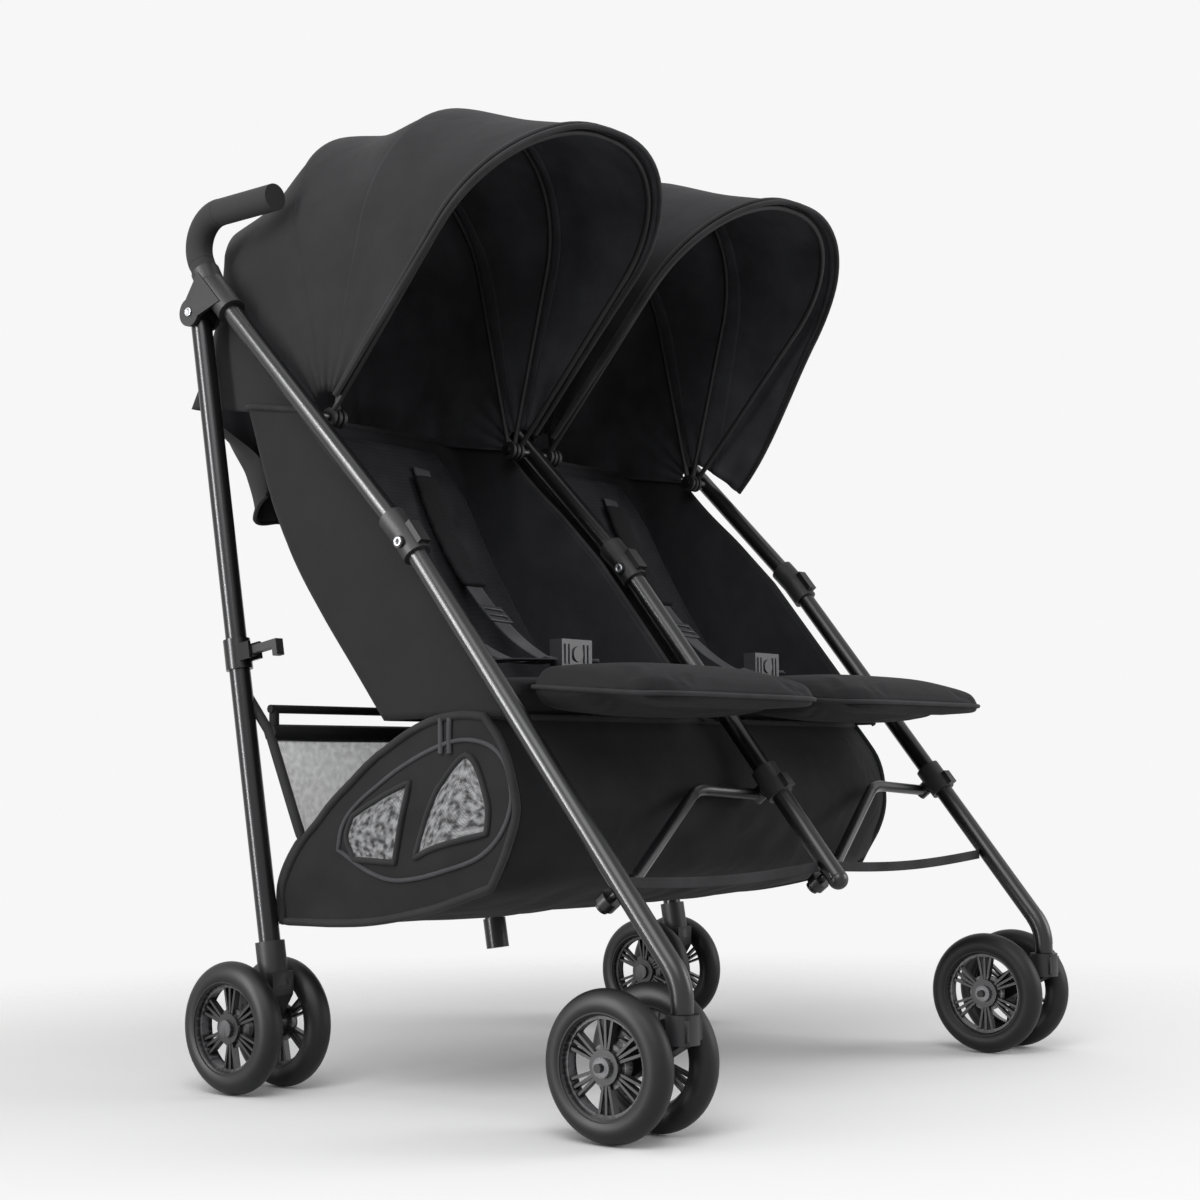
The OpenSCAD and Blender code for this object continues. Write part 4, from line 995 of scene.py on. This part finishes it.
zinc, tree, shader = begin("bright_zinc", Base_Color=linear("#b9bbbe"), Metallic=1.0, Roughness=0.3)
place = add(tree, "ShaderNodeTexCoord").outputs["Object"]
frost = add(tree, "ShaderNodeTexNoise", {"Vector": place, "Scale": 1 / 0.001, "Detail": 2.0})
satin = add(tree, "ShaderNodeMapRange", {"Value": frost.outputs["Fac"], "To Min": 0.22, "To Max": 0.4})
tree.links.new(satin.outputs["Result"], shader.inputs["Roughness"])
bpy.ops.object.select_all(action="DESELECT")
bpy.ops.mesh.primitive_cylinder_add(vertices=36, radius=0.0048, depth=0.0024)
button = bpy.context.object
pick(button, lambda f: f.normal.z > 0.9)
bpy.ops.mesh.inset(thickness=0.0024)
bpy.ops.mesh.extrude_region_move(TRANSFORM_OT_translate={"value": (0, 0, -0.0014)})
bpy.ops.object.mode_set(mode="OBJECT")
round_ = button.modifiers.new("round", "BEVEL")
round_.width, round_.segments, round_.limit_method = 0.0007, 3, "ANGLE"
bpy.ops.object.modifier_apply(modifier="round")
bpy.ops.object.shade_smooth_by_angle(angle=math.radians(40))
button.data.materials.append(zinc)
bolt_x = 0.3620
clamp_y, clamp_z = aft + 0.0188, 0.5441
pivot_y, pivot_z = aft + 0.326, 0.815
for name, body, spot, turn in (
    ("right_clamp_bolt", "right_side", (-bolt_x, clamp_y, clamp_z), -90),
    ("centre_clamp_bolt", "centre_frame", (-0.0170, clamp_y, clamp_z), -90),
    ("left_clamp_bolt", "left_side", (bolt_x, clamp_y, clamp_z), 90),
    ("right_pivot_bolt", "right_side", (-bolt_x, pivot_y, pivot_z), -90),
    ("left_pivot_bolt", "left_side", (bolt_x, pivot_y, pivot_z), 90),
):
    head = copied(button, name, Matrix.Translation(spot) @ Matrix.Rotation(math.radians(turn), 4, "Y"))
    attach(head, body)
bpy.data.objects.remove(button)

# Camera, floor and light.
# The camera stands low and to the front right, as in the photograph. The floor is a pale
# sheet that fades into an even backdrop.

yaw, pitch, roll = math.radians(38.50), math.radians(2.91), math.radians(-0.70)
ahead = Vector((math.cos(yaw) * math.cos(pitch), math.sin(yaw) * math.cos(pitch), math.sin(pitch)))
level = Vector((math.sin(yaw), -math.cos(yaw), 0))
upward = level.cross(ahead)
right = level * math.cos(roll) + upward * math.sin(roll)
upright = upward * math.cos(roll) - level * math.sin(roll)
bpy.ops.object.camera_add(location=(-1.7349, aft - 1.3197, 0.3155))
camera = bpy.context.object
camera.rotation_euler = Matrix((right, upright, -ahead)).transposed().to_euler()
camera.data.lens = 59.85
camera.data.shift_y = 0.0632
camera.data.clip_start = 0.05
bpy.context.scene.camera = camera

pale, tree, shader = begin("pale_floor", Base_Color=linear("#f4f4f4"), Roughness=0.9)
place = add(tree, "ShaderNodeTexCoord").outputs["Object"]
far = add(tree, "ShaderNodeVectorMath", {0: place}, operation="LENGTH")
gone = add(
    tree, "ShaderNodeMapRange", {"Value": far.outputs["Value"], "From Min": 0.5, "From Max": 1.5},
    interpolation_type="SMOOTHSTEP",
)
clear = add(tree, "ShaderNodeBsdfTransparent")
blend = add(
    tree, "ShaderNodeMixShader",
    {0: gone.outputs["Result"], 1: shader.outputs["BSDF"], 2: clear.outputs["BSDF"]},
)
tree.links.new(blend.outputs["Shader"], tree.nodes["Material Output"].inputs["Surface"])
bpy.ops.mesh.primitive_plane_add(size=8, location=(0, 0, -0.0005))
floor = bpy.context.object
floor.name = "floor"
floor.data.materials.append(pale)

world = bpy.data.worlds.new("even_backdrop")
bpy.context.scene.world = world
world.use_nodes = True
tree = world.node_tree
path = add(tree, "ShaderNodeLightPath")
seen = add(
    tree, "ShaderNodeMath", {0: path.outputs["Is Camera Ray"], 1: path.outputs["Is Transmission Ray"]},
    operation="MAXIMUM",
)
seen = add(
    tree, "ShaderNodeMath", {0: seen.outputs["Value"], 1: path.outputs["Is Glossy Ray"]}, operation="MAXIMUM",
)
glow = tree.nodes["Background"]
glow.inputs["Color"].default_value = linear("#ffffff")
glow.inputs["Strength"].default_value = 0.44
shown = add(tree, "ShaderNodeBackground", {"Color": linear("#f7f7f7"), "Strength": 1.0})
mixed = add(
    tree, "ShaderNodeMixShader",
    {0: seen.outputs["Value"], 1: glow.outputs["Background"], 2: shown.outputs["Background"]},
)
tree.links.new(mixed.outputs["Shader"], tree.nodes["World Output"].inputs["Surface"])

# a large box over the camera's left shoulder, a fill from the right, a tall strip on the left
# for the streaks, and a weak light from above
for name, spot, aim, size, tall, watts in (
    ("key", (-1.9, -1.1, 2.1), (-0.1, 0.0, 0.5), 1.6, 1.6, 38),
    ("fill", (1.6, -2.2, 1.2), (0.0, -0.1, 0.5), 1.4, 1.4, 30),
    ("strip", (-2.0, 0.75, 1.0), (-0.3, 0.1, 0.5), 0.20, 1.9, 80),
    ("top", (0.0, 0.2, 2.6), (0.0, 0.0, 0.5), 1.8, 1.8, 11),
):
    bpy.ops.object.light_add(type="AREA", location=spot)
    lamp = bpy.context.object
    lamp.name = name
    lamp.data.shape = "RECTANGLE"
    lamp.data.size, lamp.data.size_y, lamp.data.energy = size, tall, watts
    lamp.rotation_euler = (Vector(aim) - Vector(spot)).to_track_quat("-Z", "Y").to_euler()
    # the strip is only there for the streaks, and gives cloth and floor no diffuse light
    lamp.visible_diffuse = name != "strip"
bpy.context.scene.view_settings.view_transform = "Standard"
